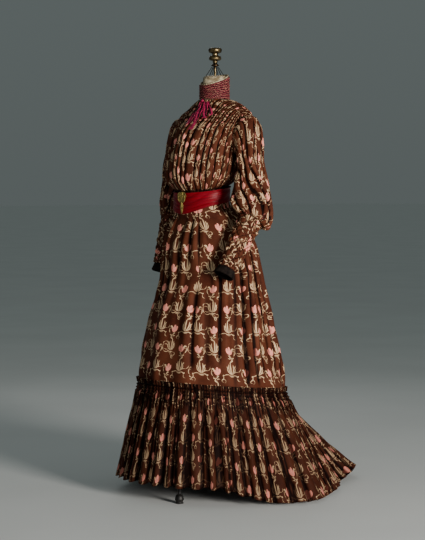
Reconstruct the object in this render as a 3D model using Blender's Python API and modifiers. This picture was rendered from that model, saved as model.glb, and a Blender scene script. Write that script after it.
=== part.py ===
"""A printed day dress of about 1904 with a gathered flounce and a short train, on a limbless dress form.

Metres, +Z up. The dress faces -Y and the wearer's left is +X. Every piece is shaped about the stand's
pole and hangs from one empty on the floor under it, placed so that the whole object's box is centred.
Angles called turn are measured round the body from the centre front towards the wearer's left.
"""

import math
from collections import namedtuple

import bmesh
import bpy
from mathutils import Vector

# Places of the main levels, as heights above the floor
POLE_Y = -0.133
NECKLINE_HEIGHT = 1.358
SHOULDER_HEIGHT = 1.312
YOKE_HEIGHT = 1.270
WAIST_HEIGHT = 1.022
FLOUNCE_HEIGHT = 0.362
ELBOW_HEIGHT = 0.957
WRIST_HEIGHT = 0.785

# Cloth
CLOTH = 0.0016
SEAM_GAP = 0.0006

# Slopes of the waist and of the flounce seam, from front to back
WAIST_TILT = 0.016
WAIST_TILT_REACH = 0.085
FLOUNCE_RISE = 0.024
FLOUNCE_RISE_START = 0.75

# Folds
FRONT_FOLDS = 18
BACK_FOLDS = 12
SKIRT_FLUTES = 11
FLOUNCE_FOLDS = 48
SLEEVE_FOLDS = 10
COLLAR_RUCHES = 4
CUFF_RUCHES = 4
STEPS_PER_FOLD = 3

# Armhole: an upright oval seen from the side
ARMHOLE_Y = -0.006
ARMHOLE_HEIGHT = 1.232
ARMHOLE_HALF_DEPTH = 0.052
ARMHOLE_HALF_HEIGHT = 0.074

Section = namedtuple("Section", "height centre half_width front back")

BODICE = [
    Section(1.022, -0.064, 0.103, 0.079, 0.079),
    Section(1.056, -0.063, 0.104, 0.081, 0.079),
    Section(1.074, -0.058, 0.120, 0.101, 0.085),
    Section(1.095, -0.051, 0.134, 0.122, 0.091),
    Section(1.140, -0.043, 0.141, 0.129, 0.096),
    Section(1.200, -0.034, 0.145, 0.123, 0.099),
    Section(1.250, -0.026, 0.155, 0.108, 0.098),
    Section(1.295, -0.006, 0.160, 0.098, 0.080),
    Section(1.312, 0.006, 0.160, 0.097, 0.070),
    Section(1.334, 0.012, 0.127, 0.081, 0.057),
    Section(1.350, 0.006, 0.088, 0.065, 0.050),
    Section(1.358, -0.007, 0.050, 0.049, 0.048),
]

SKIRT = [
    Section(0.300, -0.018, 0.259, 0.261, 0.262),
    Section(0.362, -0.019, 0.248, 0.248, 0.249),
    Section(0.426, -0.022, 0.236, 0.236, 0.236),
    Section(0.510, -0.027, 0.218, 0.216, 0.218),
    Section(0.595, -0.028, 0.202, 0.197, 0.198),
    Section(0.679, -0.025, 0.184, 0.173, 0.174),
    Section(0.736, -0.025, 0.174, 0.156, 0.160),
    Section(0.792, -0.030, 0.167, 0.147, 0.152),
    Section(0.848, -0.036, 0.162, 0.138, 0.143),
    Section(0.912, -0.048, 0.142, 0.111, 0.119),
    Section(0.964, -0.057, 0.116, 0.087, 0.091),
    Section(0.990, -0.063, 0.106, 0.081, 0.082),
    Section(1.022, -0.064, 0.103, 0.079, 0.079),
]

FORM = [
    Section(0.800, -0.033, 0.138, 0.108, 0.116),
    Section(0.850, -0.036, 0.146, 0.120, 0.126),
    Section(0.912, -0.048, 0.130, 0.099, 0.106),
    Section(0.964, -0.057, 0.108, 0.079, 0.083),
    Section(1.022, -0.064, 0.098, 0.074, 0.074),
    Section(1.056, -0.063, 0.098, 0.075, 0.073),
    Section(1.130, -0.048, 0.122, 0.108, 0.086),
    Section(1.200, -0.034, 0.132, 0.108, 0.090),
    Section(1.265, -0.020, 0.140, 0.086, 0.082),
    Section(1.298, -0.002, 0.132, 0.074, 0.062),
    Section(1.320, 0.004, 0.110, 0.062, 0.048),
    Section(1.340, -0.002, 0.066, 0.048, 0.042),
    Section(1.356, -0.007, 0.045, 0.044, 0.044),
    Section(1.390, -0.006, 0.043, 0.042, 0.042),
    Section(1.438, -0.004, 0.042, 0.041, 0.041),
]

# How far the flounce's hem lies from the pole, and how high it hangs, from the front round to the back
Hem = namedtuple("Hem", "turn reach height")
HEM = [
    Hem(0, 0.326, 0.056),
    Hem(45, 0.326, 0.054),
    Hem(62, 0.330, 0.036),
    Hem(75, 0.345, 0.014),
    Hem(90, 0.375, 0.002),
    Hem(104, 0.404, 0.001),
    Hem(122, 0.394, 0.001),
    Hem(150, 0.428, 0.005),
    Hem(162, 0.496, 0.009),
    Hem(172, 0.574, 0.014),
    Hem(180, 0.602, 0.018),
]
TRAIN_SAG = 0.050

# Share of the flounce's depth below its seam, and how deep its folds are there
FlounceRow = namedtuple("FlounceRow", "down relief stand")
FLOUNCE_ROWS = [
    FlounceRow(-0.050, 0.0040, 0.0012),
    FlounceRow(0.000, 0.0022, 0.0),
    FlounceRow(0.150, 0.0045, 0.0),
    FlounceRow(0.330, 0.0130, 0.0),
    FlounceRow(0.560, 0.0180, 0.0),
    FlounceRow(0.790, 0.0210, 0.0),
    FlounceRow(1.000, 0.0230, 0.0),
]

# Gores of the skirt and widths of the flounce, each from one fold of the flounce to another
Panel = namedtuple("Panel", "name first last")
GORES = [
    Panel("skirt_front", -4, 4),
    Panel("skirt_side_left", 4, 12),
    Panel("skirt_back_left", 12, 24),
    Panel("skirt_back_right", 24, 36),
    Panel("skirt_side_right", 36, 44),
]
WIDTHS = [
    Panel("flounce_front", -6, 6),
    Panel("flounce_left", 6, 18),
    Panel("flounce_back", 18, 30),
    Panel("flounce_right", 30, 42),
]

# The sleeve's rings, on the wearer's left. A ring at tilt 0 faces sideways and one at 90 faces down.
Ring = namedtuple("Ring", "x y z tilt lean out inside front back relief")
SLEEVE_RINGS = [
    Ring(0.168, -0.006, 1.2330, 24, 0, 0.0720, 0.0720, 0.0510, 0.0510, 0.0020),
    Ring(0.183, -0.008, 1.2000, 56, 0, 0.0410, 0.0450, 0.0480, 0.0470, 0.0050),
    Ring(0.190, -0.012, 1.1540, 80, 0, 0.0330, 0.0300, 0.0440, 0.0440, 0.0080),
    Ring(0.197, -0.013, 1.1050, 90, 0, 0.0330, 0.0310, 0.0430, 0.0440, 0.0100),
    Ring(0.206, -0.013, 1.0500, 90, 4, 0.0380, 0.0370, 0.0440, 0.0470, 0.0120),
    Ring(0.211, -0.012, 1.0000, 92, 14, 0.0440, 0.0430, 0.0480, 0.0540, 0.0110),
    Ring(0.213, -0.014, 0.9550, 94, 30, 0.0470, 0.0450, 0.0480, 0.0600, 0.0060),
]
SLEEVE_JOIN = 0.020

# The lower sleeve, as shares of the way from elbow to wrist
Forearm = namedtuple("Forearm", "down radius")
LOWER_SLEEVE_ROWS = [
    Forearm(0.0, 0.0360),
    Forearm(0.45, 0.0345),
    Forearm(0.85, 0.0290),
    Forearm(1.0, 0.0285),
]
Arm = namedtuple("Arm", "label side elbow wrist ease")
ARMS = [
    Arm("left", 1, Vector((0.213, -0.020, ELBOW_HEIGHT)), Vector((0.205, -0.125, WRIST_HEIGHT)), 0.0013),
    Arm("right", -1, Vector((0.213, -0.020, ELBOW_HEIGHT)), Vector((0.218, -0.064, WRIST_HEIGHT)), 0.0021),
]
CUFF_LENGTH = 0.026
CUFF_FLARE = 0.006
CUFF_RADIUS = 0.0290

# Collar, tie, belt and buckle
COLLAR_FRONT_TOP = 1.409
COLLAR_BACK_TOP = 1.441
COLLAR_RADIUS = 0.0475
COLLAR_LIFT = 0.0038
BELT_CLEARANCE = 0.0044
BELT_RUCHE = 0.0014
BELT_HALF_HEIGHT = 0.031
BELT_POINT = 0.013
BELT_POINT_TURN = 26
BUCKLE_WIDTH = 0.044
BUCKLE_HEIGHT = 0.040
BUCKLE_DROP = 0.078
BUCKLE_THICKNESS = 0.003
BUCKLE_RISE = 0.018
BUCKLE_STAND = 0.0040

# Where the tie's knot sits against the collar
KNOT_PLACE = (0.004, -0.0660, 1.3660)

# Ribbon ends of the tie: sideways places at the knot and at the end, and how low each hangs
RIBBON_DROP = 0.016
RIBBON_STAND = 0.0074
Ribbon = namedtuple("Ribbon", "name start end foot width")
RIBBONS = [
    Ribbon("tie_tail_right", -0.003, -0.005, 1.270, 0.014),
    Ribbon("tie_tail_left", 0.010, 0.030, 1.252, 0.014),
    Ribbon("tie_loop_front", 0.021, 0.054, 1.290, 0.013),
    Ribbon("tie_loop_back", 0.030, 0.074, 1.302, 0.009),
]

# Stand and the form's top
POLE_RADIUS = 0.0125
KNOB_Y = -0.004
HUB_HEIGHT = 0.135
HUB_RADIUS = 0.026
FOOT_REACH = 0.290
FOOT_TURN = 25
LEG_COUNT = 3
FOOT_HEIGHT = 0.030
Bend = namedtuple("Bend", "reach height")
LEG_ROUTE = [
    Bend(HUB_RADIUS + 0.0004, 0.113),
    Bend(0.075, 0.113),
    Bend(0.130, 0.106),
    Bend(0.190, 0.086),
    Bend(0.245, 0.066),
    Bend(FOOT_REACH, 0.048),
    Bend(FOOT_REACH, FOOT_HEIGHT + SEAM_GAP / 2),
]
Turning = namedtuple("Turning", "radius height")
KNOB = [
    Turning(0.0100, 1.5400),
    Turning(0.0210, 1.5385),
    Turning(0.0235, 1.5325),
    Turning(0.0215, 1.5235),
    Turning(0.0100, 1.5195),
    Turning(0.0095, 1.5145),
    Turning(0.0195, 1.5110),
    Turning(0.0217, 1.5045),
    Turning(0.0195, 1.4975),
    Turning(0.0085, 1.4945),
    Turning(0.0075, 1.4860),
    Turning(0.0135, 1.4810),
    Turning(0.0135, 1.4780),
    Turning(0.0045, 1.4750),
]
STRUT_COUNT = 6
STRUT_RADIUS = 0.0013

# Base colour, roughness and metallic value of each material
MATERIALS = {
    "printed_silk": ((0.105, 0.036, 0.020), 0.55, 0.0),
    "wine_silk": ((0.240, 0.020, 0.050), 0.50, 0.0),
    "red_satin": ((0.420, 0.006, 0.014), 0.30, 0.0),
    "black_velvet": ((0.012, 0.008, 0.007), 0.85, 0.0),
    "gilt": ((0.500, 0.360, 0.110), 0.35, 1.0),
    "ivory_cloth": ((0.620, 0.540, 0.430), 0.75, 0.0),
    "cast_iron": ((0.018, 0.016, 0.015), 0.45, 1.0),
}


def between(table, column, at):
    """Reads a column of a table at a value of its first column, on a smooth curve that never overshoots."""
    keys = [row[0] for row in table]
    values = [getattr(row, column) for row in table]
    at = min(max(at, keys[0]), keys[-1])
    k = next(i for i in range(len(keys) - 1) if at <= keys[i + 1])
    slopes = [(values[i + 1] - values[i]) / (keys[i + 1] - keys[i]) for i in range(len(keys) - 1)]

    def tangent(i):
        if i == 0 or i == len(slopes):
            return slopes[min(i, len(slopes) - 1)]
        before, after = slopes[i - 1], slopes[i]
        return 0.0 if before * after <= 0 else 2 * before * after / (before + after)

    span = keys[k + 1] - keys[k]
    f = (at - keys[k]) / span
    return (
        (2 * f**3 - 3 * f**2 + 1) * values[k]
        + (f**3 - 2 * f**2 + f) * span * tangent(k)
        + (3 * f**2 - 2 * f**3) * values[k + 1]
        + (f**3 - f**2) * span * tangent(k + 1)
    )


def smooth(f):
    """A share from 0 to 1 that starts and ends level."""
    f = min(max(f, 0.0), 1.0)
    return f * f * (3 - 2 * f)


def uneven(k, salt):
    """A fixed number from -1 to 1 for fold k, so that no two neighbours are alike."""
    return 2 * ((math.sin(12.9898 * k + 78.233 * salt) * 43758.5453) % 1.0) - 1


def level(height, turn):
    """The true height of a level line, which dips before the waist and rises before the flounce."""
    waist = math.exp(-(((height - WAIST_HEIGHT) / WAIST_TILT_REACH) ** 2))
    flounce = smooth((FLOUNCE_RISE_START - height) / (FLOUNCE_RISE_START - FLOUNCE_HEIGHT))
    return height + math.cos(turn) * (FLOUNCE_RISE * flounce - WAIST_TILT * waist)


def on_section(table, height, turn):
    """A point on the body at a level and a turn from the centre front."""
    depth = between(table, "front" if math.cos(turn) > 0 else "back", height)
    return Vector(
        (
            between(table, "half_width", height) * math.sin(turn),
            between(table, "centre", height) - depth * math.cos(turn),
            level(height, turn),
        )
    )


def wall(name, material, base, relief, columns, rows, closed):
    """A cloth wall on a base surface.

    base(u, v) gives the surface that the folds stand on, relief(u, v) how far the outer face stands
    off it, and the inner face lies one cloth's thickness below it. Columns and rows are the values
    of u and v, and a closed wall joins its last column to its first.
    """
    step = 1e-4

    def normal(u, v):
        across = base(u + step, v) - base(u - step, v)
        down = base(u, min(v + step, rows[-1])) - base(u, max(v - step, rows[0]))
        return down.cross(across).normalized()

    mesh = bmesh.new()
    faces = []
    for sunk in (0.0, CLOTH):
        layer = []
        for v in rows:
            line = []
            for u in columns:
                line.append(mesh.verts.new(base(u, v) + normal(u, v) * (relief(u, v) - sunk)))
            layer.append(line)
        faces.append(layer)
    outer, inner = faces
    last = len(columns) if closed else len(columns) - 1
    for r in range(len(rows) - 1):
        for c in range(last):
            d = (c + 1) % len(columns)
            mesh.faces.new((outer[r][c], outer[r + 1][c], outer[r + 1][d], outer[r][d]))
            mesh.faces.new((inner[r][c], inner[r][d], inner[r + 1][d], inner[r + 1][c]))
    for r in (0, len(rows) - 1):
        for c in range(last):
            d = (c + 1) % len(columns)
            mesh.faces.new((outer[r][c], outer[r][d], inner[r][d], inner[r][c]))
    if not closed:
        for c in (0, len(columns) - 1):
            for r in range(len(rows) - 1):
                mesh.faces.new((outer[r][c], outer[r + 1][c], inner[r + 1][c], inner[r][c]))
    return finish(name, material, mesh)


def solid_loft(name, material, table, turns):
    """A closed solid through every section of a table, flat at both ends."""
    mesh = bmesh.new()
    lines = [[mesh.verts.new(on_section(table, row.height, turn)) for turn in turns] for row in table]
    for low, high in zip(lines, lines[1:]):
        for c in range(len(turns)):
            d = (c + 1) % len(turns)
            mesh.faces.new((low[c], low[d], high[d], high[c]))
    mesh.faces.new(lines[0])
    mesh.faces.new(lines[-1])
    return finish(name, material, mesh)


def finish(name, material, mesh):
    """Turns a bmesh into an object of the dress, with its faces outwards."""
    bmesh.ops.recalc_face_normals(mesh, faces=mesh.faces)
    data = bpy.data.meshes.new(name)
    mesh.to_mesh(data)
    mesh.free()
    return add(name, material, data)


def add(name, material, data):
    """Links an object to the dress's collection and hangs it from the pole's empty."""
    made = bpy.data.objects.new(name, data)
    DRESS.objects.link(made)
    made.parent = POLE
    made.data.materials.append(MADE_MATERIALS[material])
    return made


def turned(name, material, profile, sides, place=(0, 0, 0)):
    """A turned solid from a profile of (radius, height) pairs, top to bottom."""
    data = bpy.data.meshes.new(name)
    points = [(0, 0, profile[0][1])] + [(r, 0, z) for r, z in profile] + [(0, 0, profile[-1][1])]
    data.from_pydata(points, [(i, i + 1) for i in range(len(points) - 1)], [])
    made = add(name, material, data)
    made.location = place
    screw = made.modifiers.new("turn", "SCREW")
    screw.steps = screw.render_steps = sides
    screw.use_merge_vertices = True
    screw.merge_threshold = 1e-5


def fold_turns(count, per_fold, salt, crowd=0.0):
    """Turns of the columns of a ring of folds, each fold a little wider or narrower than the next."""
    edges = []
    for k in range(count):
        u = (k + 0.20 * uneven(k, salt)) / count
        edges.append(math.tau * u + crowd * math.sin(math.tau * u))
    edges.append(edges[0] + math.tau)
    turns = []
    for k in range(count):
        for j in range(per_fold):
            turns.append(edges[k] + (edges[k + 1] - edges[k]) * j / per_fold)
    return edges, turns


def fold_share(edges, turn):
    """Which fold a turn falls in, and how far across that fold it is."""
    turn = (turn - edges[0]) % math.tau + edges[0]
    k = next(i for i in range(len(edges) - 1) if turn < edges[i + 1] or i == len(edges) - 2)
    return k, (turn - edges[k]) / (edges[k + 1] - edges[k])


def crest(share):
    """The height of a soft fold across its width: 0 in the valleys and 1 on top."""
    return math.sin(math.pi * min(max(share, 0.0), 1.0)) ** 0.8


def shoulder_level(x):
    """The height at which the shoulder line lies a distance x from the middle."""
    low, high = SHOULDER_HEIGHT, NECKLINE_HEIGHT
    if x <= between(BODICE, "half_width", high):
        return high
    for _ in range(40):
        middle = (low + high) / 2
        low, high = (middle, high) if between(BODICE, "half_width", middle) > x else (low, middle)
    return (low + high) / 2


def bodice_panel(name, facing, folds, salt):
    """The front or back of the bodice. Tucks run straight down from the shoulder and open into gathers.

    facing is 1 for the front and -1 for the back. Across the panel u runs from -1 to 1 between the
    side seams, and v from 0 at the neck and shoulder to 1 at the yoke's foot and on to 2 at the waist.
    """
    reach = between(BODICE, "half_width", SHOULDER_HEIGHT)

    def base(u, v):
        swing = math.radians(90) * min(max(u, -1.0), 1.0)
        straight = reach * math.sin(swing)
        if v <= 1:
            top = shoulder_level(abs(straight))
            height = top + (YOKE_HEIGHT - top) * v
        else:
            height = YOKE_HEIGHT + (WAIST_HEIGHT + SEAM_GAP / 2 - YOKE_HEIGHT) * (v - 1)
        half = between(BODICE, "half_width", height)
        across = math.sin(swing) if height < SHOULDER_HEIGHT else min(max(straight / half, -1.0), 1.0)
        away = math.sqrt(1 - across**2)
        depth = between(BODICE, "front" if facing > 0 else "back", height)
        turn = math.asin(across) if facing > 0 else math.pi - math.asin(across)
        centre = between(BODICE, "centre", height) - facing * SEAM_GAP / 2
        return Vector((half * across, centre - facing * depth * away, level(height, turn)))

    def relief(u, v):
        share = (u + 1) / 2 * folds
        k = min(int(share), folds - 1)
        size = 1 + 0.25 * uneven(k, salt)
        swell = 0.0022 if v <= 1 else 0.0022 + 0.0058 * math.sin(math.pi * min((v - 1) / 0.86, 1.0)) ** 0.7
        if v >= 1.86:
            swell = 0.0012
        fade = min(1.0, (1 - abs(u)) * 9)
        if facing < 0:
            swell *= 0.8
        return CLOTH + swell * size * crest(share - k) * fade

    def outward(u, v):
        return base(facing * u, v)

    count = folds * STEPS_PER_FOLD
    columns = [-1 + 2 * (i / count) for i in range(count + 1)]
    columns[0], columns[-1] = -1 + 1e-3, 1 - 1e-3
    rows = [0.0, 0.14, 0.45, 1.0, 1.34, 1.62, 1.775, 1.86, 2.0]
    panel = wall(name, "printed_silk", outward, lambda u, v: relief(facing * u, v), columns, rows, False)
    for side in (-1, 1):
        hole = panel.modifiers.new("armhole", "BOOLEAN")
        hole.operation = "DIFFERENCE"
        hole.solver = "EXACT"
        hole.object = ARMHOLE_CUTTERS[side]


def armhole_oval(share, grow=0.0):
    """Y and height of a point round the armhole, from its top towards the front."""
    angle = math.tau * share
    return (
        ARMHOLE_Y - (ARMHOLE_HALF_DEPTH + grow) * math.sin(angle),
        ARMHOLE_HEIGHT + (ARMHOLE_HALF_HEIGHT + grow) * math.cos(angle),
    )


def armhole_cutter(side, sides):
    """An oval bar through one armhole, used only to cut the bodice."""
    mesh = bmesh.new()
    ends = []
    for x in (0.070, 0.260):
        line = []
        for i in range(sides):
            y, z = armhole_oval(i / sides, SEAM_GAP)
            line.append(mesh.verts.new((side * x, y, z)))
        ends.append(line)
    for c in range(sides):
        d = (c + 1) % sides
        mesh.faces.new((ends[0][c], ends[0][d], ends[1][d], ends[1][c]))
    mesh.faces.new(ends[0])
    mesh.faces.new(ends[1])
    bmesh.ops.recalc_face_normals(mesh, faces=mesh.faces)
    data = bpy.data.meshes.new("armhole_cutter")
    mesh.to_mesh(data)
    mesh.free()
    cutter = bpy.data.objects.new("armhole_cutter", data)
    CUTTERS.objects.link(cutter)
    cutter.parent = POLE
    cutter.hide_render = True
    cutter.display_type = "WIRE"
    return cutter


def bodice_side(y, height):
    """How far out the bodice's side lies at a depth and height."""
    centre = between(BODICE, "centre", height)
    depth = between(BODICE, "front" if y < centre else "back", height)
    return between(BODICE, "half_width", height) * math.sqrt(max(0.0, 1 - ((y - centre) / depth) ** 2))


def sleeve_axes(tilt, lean):
    """The way a sleeve ring faces, its outward side and its front side."""
    tilt, lean = math.radians(tilt), math.radians(lean)
    facing = Vector((math.cos(tilt) * math.cos(lean), -math.sin(lean), -math.sin(tilt) * math.cos(lean)))
    out = Vector((math.sin(tilt), 0, math.cos(tilt)))
    return facing, out, facing.cross(out)


def upper_sleeve(arm):
    """The full upper sleeve, set into the armhole and gathered in round the top of the forearm."""
    seam_in, seam_out = -0.005, 0.009
    foot = between(LOWER_SLEEVE_ROWS, "radius", SLEEVE_JOIN) + CLOTH + arm.ease
    side = arm.side

    def base(u, v):
        angle = math.tau * u
        if v < 2:
            y, z = armhole_oval(u, -CLOTH)
            seat = bodice_side(y, z)
            place = Vector((seat + seam_in + (seam_out - seam_in) * min(v, 1.0), y, z))
            if v <= 1:
                return Vector((side * place.x, place.y, place.z))
        if v < 2:
            low, high, f = place, None, v - 1
        else:
            k = min(int(v - 2), len(SLEEVE_RINGS) - 1)
            low, high, f = ring_point(k, angle), ring_point(k + 1, angle), v - 2 - k
        if high is None:
            high = ring_point(0, angle)
        point = low + (high - low) * f
        return Vector((side * point.x, point.y, point.z))

    def ring_point(k, angle):
        if k == len(SLEEVE_RINGS):
            return forearm_point(arm, angle / math.tau, SLEEVE_JOIN, foot)
        ring = SLEEVE_RINGS[k]
        _, out, front = sleeve_axes(ring.tilt, ring.lean)
        across = ring.out if math.cos(angle) > 0 else ring.inside
        along = ring.front if math.sin(angle) > 0 else ring.back
        middle = Vector((ring.x, ring.y, ring.z))
        return middle + out * across * math.cos(angle) + front * along * math.sin(angle)

    edges, turns = fold_turns(SLEEVE_FOLDS, STEPS_PER_FOLD, 5 + side)

    def relief(u, v):
        if v <= 1:
            return CLOTH
        k, share = fold_share(edges, math.tau * u)
        if v > 1.5 + len(SLEEVE_RINGS):
            return CLOTH
        ring = SLEEVE_RINGS[int(round(v - 2))]
        near_body = 0.35 if math.cos(math.tau * u) < -0.3 else 1.0
        return CLOTH + ring.relief * near_body * (1 + 0.3 * uneven(k, 6)) * crest(share)

    columns = [-side * turn / math.tau for turn in turns]
    rows = [0.0, 1.0] + [2.0 + k for k in range(len(SLEEVE_RINGS) + 1)]

    def outward(u, v):
        return base(-side * u, v)

    def outward_relief(u, v):
        return relief(-side * u, v)

    wall(f"sleeve_upper_{arm.label}", "printed_silk", outward, outward_relief, columns, rows, True)


def forearm_point(arm, u, down, radius):
    """A point of the forearm's sleeve on the wearer's left, a share of the way down from elbow to wrist."""
    way = (arm.wrist - arm.elbow).normalized()
    out = (Vector((1, 0, 0)) - way * way.x).normalized()
    front = way.cross(out)
    angle = math.tau * u
    off = out * math.cos(angle) + front * math.sin(angle)
    return arm.elbow + (arm.wrist - arm.elbow) * down + off * radius


def lower_sleeve(arm):
    """The close, ruched forearm of the sleeve."""

    def base(u, v):
        point = forearm_point(arm, -arm.side * u, v, between(LOWER_SLEEVE_ROWS, "radius", v))
        return Vector((arm.side * point.x, point.y, point.z))

    def relief(u, v):
        return CLOTH + 0.0030 * (0.5 - 0.5 * math.cos(math.tau * CUFF_RUCHES * v))

    columns = [i / 14 for i in range(14)]
    rows = [i / (2 * CUFF_RUCHES) for i in range(2 * CUFF_RUCHES + 1)]
    wall(f"sleeve_lower_{arm.label}", "printed_silk", base, relief, columns, rows, True)


def cuff(arm):
    """The dark velvet edge of the sleeve, flared over the hand."""
    length = (arm.wrist - arm.elbow).length
    start = 1 + SEAM_GAP / length
    end = start + CUFF_LENGTH / length

    def base(u, v):
        point = forearm_point(arm, -arm.side * u, start + (end - start) * v, CUFF_RADIUS + CUFF_FLARE * v)
        return Vector((arm.side * point.x, point.y, point.z))

    columns = [i / 14 for i in range(14)]
    wall(f"cuff_{arm.label}", "black_velvet", base, lambda u, v: CLOTH, columns, [0.0, 1.0], True)


def collar():
    """The standing collar, ruched in rings and rising at the back."""

    middle = (COLLAR_FRONT_TOP + COLLAR_BACK_TOP) / 2
    slope = (COLLAR_BACK_TOP - COLLAR_FRONT_TOP) / 2
    foot = NECKLINE_HEIGHT + COLLAR_LIFT

    def base(u, v):
        turn = math.tau * u
        top = middle - slope * math.cos(turn)
        height = top + (foot - top) * v
        return Vector((COLLAR_RADIUS * math.sin(turn), -0.007 - COLLAR_RADIUS * math.cos(turn), height))

    def relief(u, v):
        return CLOTH + 0.0018 * (0.5 - 0.5 * math.cos(math.tau * COLLAR_RUCHES * v))

    columns = [i / 18 for i in range(18)]
    rows = [i / (2 * COLLAR_RUCHES) for i in range(2 * COLLAR_RUCHES + 1)]
    wall("collar", "wine_silk", base, relief, columns, rows, True)


def waist_section(height, turn):
    """The body at a level near the waist, on the bodice above its seam and the skirt below."""
    return on_section(BODICE if height >= WAIST_HEIGHT else SKIRT, height, turn)


def belt():
    """The satin belt, deepest at its pointed front."""

    def base(u, v):
        turn = math.tau * u
        off_front = (math.degrees(turn) + 180) % 360 - 180
        point = BELT_POINT * math.exp(-((off_front / BELT_POINT_TURN) ** 2))
        top = WAIST_HEIGHT + BELT_HALF_HEIGHT
        bottom = WAIST_HEIGHT - BELT_HALF_HEIGHT - point
        return waist_section(top + (bottom - top) * v, turn)

    def relief(u, v):
        return BELT_CLEARANCE + CLOTH + BELT_RUCHE * (0.5 - 0.5 * math.cos(math.tau * 2 * v))

    columns = [i / 28 for i in range(28)]
    wall("belt", "red_satin", base, relief, columns, [0, 0.25, 0.5, 0.75, 1.0], True)


def seam_columns(edges_apart, first, last, spread):
    """Columns of a panel from one fold's edge to another's, held back half a seam gap at both ends."""
    columns = []
    for k in range(first * STEPS_PER_FOLD, last * STEPS_PER_FOLD + 1, edges_apart):
        whole, place = divmod(k, len(FLOUNCE_TURNS))
        columns.append(FLOUNCE_TURNS[place] / math.tau + whole)
    held = SEAM_GAP / 2 / (math.tau * spread)
    columns[0] += held
    columns[-1] -= held
    return columns


def skirt_gore(name, first, last):
    """One gore of the skirt, smooth over the hips and fluted below."""
    foot = FLOUNCE_HEIGHT - 0.008

    def base(u, v):
        height = WAIST_HEIGHT - SEAM_GAP / 2 + (foot - WAIST_HEIGHT) * v
        return on_section(SKIRT, height, math.tau * u)

    rows = [0.0, 0.045, 0.12, 0.24, 0.52, 1.0]
    wall(name, "printed_silk", base, skirt_relief, seam_columns(2, first, last, 0.08), rows, False)


def skirt_relief(u, v):
    """How far the skirt's soft flutes stand out, from none at the waist to most above the flounce."""
    turn = math.tau * u
    flute = 0.5 + 0.5 * math.cos(SKIRT_FLUTES * turn + 0.8 * math.sin(2 * turn))
    depth = 0.0075 * smooth((v - 0.12) / 0.45) * (1 - 0.7 * smooth((v - 0.78) / 0.22))
    return CLOTH + depth * flute


def flounce_width(name, first, last):
    """One width of the gathered flounce with its shirred head, sweeping into the train at the back."""

    def seam(turn):
        return on_section(SKIRT, FLOUNCE_HEIGHT, turn)

    def hem(turn):
        off_front = abs((math.degrees(turn) + 180) % 360 - 180)
        reach = between(HEM, "reach", off_front)
        return Vector((reach * math.sin(turn), -reach * math.cos(turn), between(HEM, "height", off_front)))

    def base(u, v):
        turn = math.tau * u
        start, end = seam(turn), hem(turn)
        if v < 0:
            return on_section(SKIRT, FLOUNCE_HEIGHT - v * 0.36, turn)
        bend = (start + end) / 2
        bend.z -= TRAIN_SAG * smooth((abs((math.degrees(turn) + 180) % 360 - 180) - 110) / 70)
        return start * (1 - v) ** 2 + bend * 2 * v * (1 - v) + end * v**2

    def relief(u, v):
        k, share = fold_share(FLOUNCE_EDGES, math.tau * u)
        depth = between(FLOUNCE_ROWS, "relief", v) * (1 + 0.3 * uneven(k, 3))
        stand = between(FLOUNCE_ROWS, "stand", v)
        on_skirt = 0.0018 * (1 - smooth(v / 0.15))
        return CLOTH + SEAM_GAP * 2 + CLOTH + on_skirt + stand + depth * crest(share)

    rows = [row.down for row in FLOUNCE_ROWS]
    wall(name, "printed_silk", base, relief, seam_columns(1, first, last, 0.25), rows, False)


def tie():
    """A knot at the collar's foot and four ribbon ends spread over the bodice towards the wearer's left."""
    knot = [(0.004, 0.006), (0.008, 0.003), (0.008, -0.003), (0.004, -0.006)]
    turned("tie_knot", "wine_silk", knot, 10, KNOT_PLACE)
    top = NECKLINE_HEIGHT - RIBBON_DROP
    for ribbon in RIBBONS:

        def base(u, v, ribbon=ribbon):
            height = top + (ribbon.foot - top) * v
            x = ribbon.start + (ribbon.end - ribbon.start) * v + ribbon.width * (u - 0.5) * (0.6 + 0.4 * v)
            across = x / between(BODICE, "half_width", height)
            depth = between(BODICE, "front", height) * math.sqrt(1 - across**2)
            return Vector((x, between(BODICE, "centre", height) - depth, height))

        rows = [i / 5 for i in range(6)]
        wall(ribbon.name, "wine_silk", base, lambda u, v: RIBBON_STAND, [0.0, 0.5, 1.0], rows, False)


def flat_plate(name, material, outlines, thickness, place, rotation):
    """A flat plate cut to closed outlines, with any inner outline left open."""
    data = bpy.data.curves.new(name, "CURVE")
    data.dimensions = "2D"
    data.fill_mode = "BOTH"
    data.extrude = thickness / 2
    for outline in outlines:
        spline = data.splines.new("POLY")
        spline.points.add(len(outline) - 1)
        for point, (x, y) in zip(spline.points, outline):
            point.co = (x, y, 0, 1)
        spline.use_cyclic_u = True
    made = add(name, material, data)
    made.location = place
    made.rotation_euler = rotation


def buckle():
    """A gilt clasp: a pierced rounded head over a long tapering drop."""
    head = []
    for i in range(20):
        angle = math.tau * i / 20
        pull = 1 + 0.10 * math.cos(3 * angle + math.pi)
        head.append((BUCKLE_WIDTH / 2 * math.sin(angle) * pull, BUCKLE_HEIGHT / 2 * math.cos(angle) * pull))
    drop_foot = BUCKLE_HEIGHT / 2 - BUCKLE_DROP
    lower = [(0.0045, -0.018), (0.0075, -0.034), (0.0055, -0.052), (0.0, drop_foot)]
    lower += [(-x, y) for x, y in reversed(lower[:3])]
    outline = head[:9] + lower + head[12:]
    windows = [[], []]
    for i in range(8):
        angle = math.tau * i / 8
        x, y = 0.0095 + 0.0050 * math.sin(angle), 0.002 + 0.0095 * math.cos(angle)
        windows[0].append((-x, y))
        windows[1].append((x, y))
    front = waist_section(WAIST_HEIGHT, 0) + Vector((0, -BELT_CLEARANCE - CLOTH, 0))
    place = front + Vector((0, -BUCKLE_STAND, BUCKLE_RISE))
    flat_plate("buckle", "gilt", [outline, *windows], BUCKLE_THICKNESS, place, (math.radians(90), 0, 0))


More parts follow.
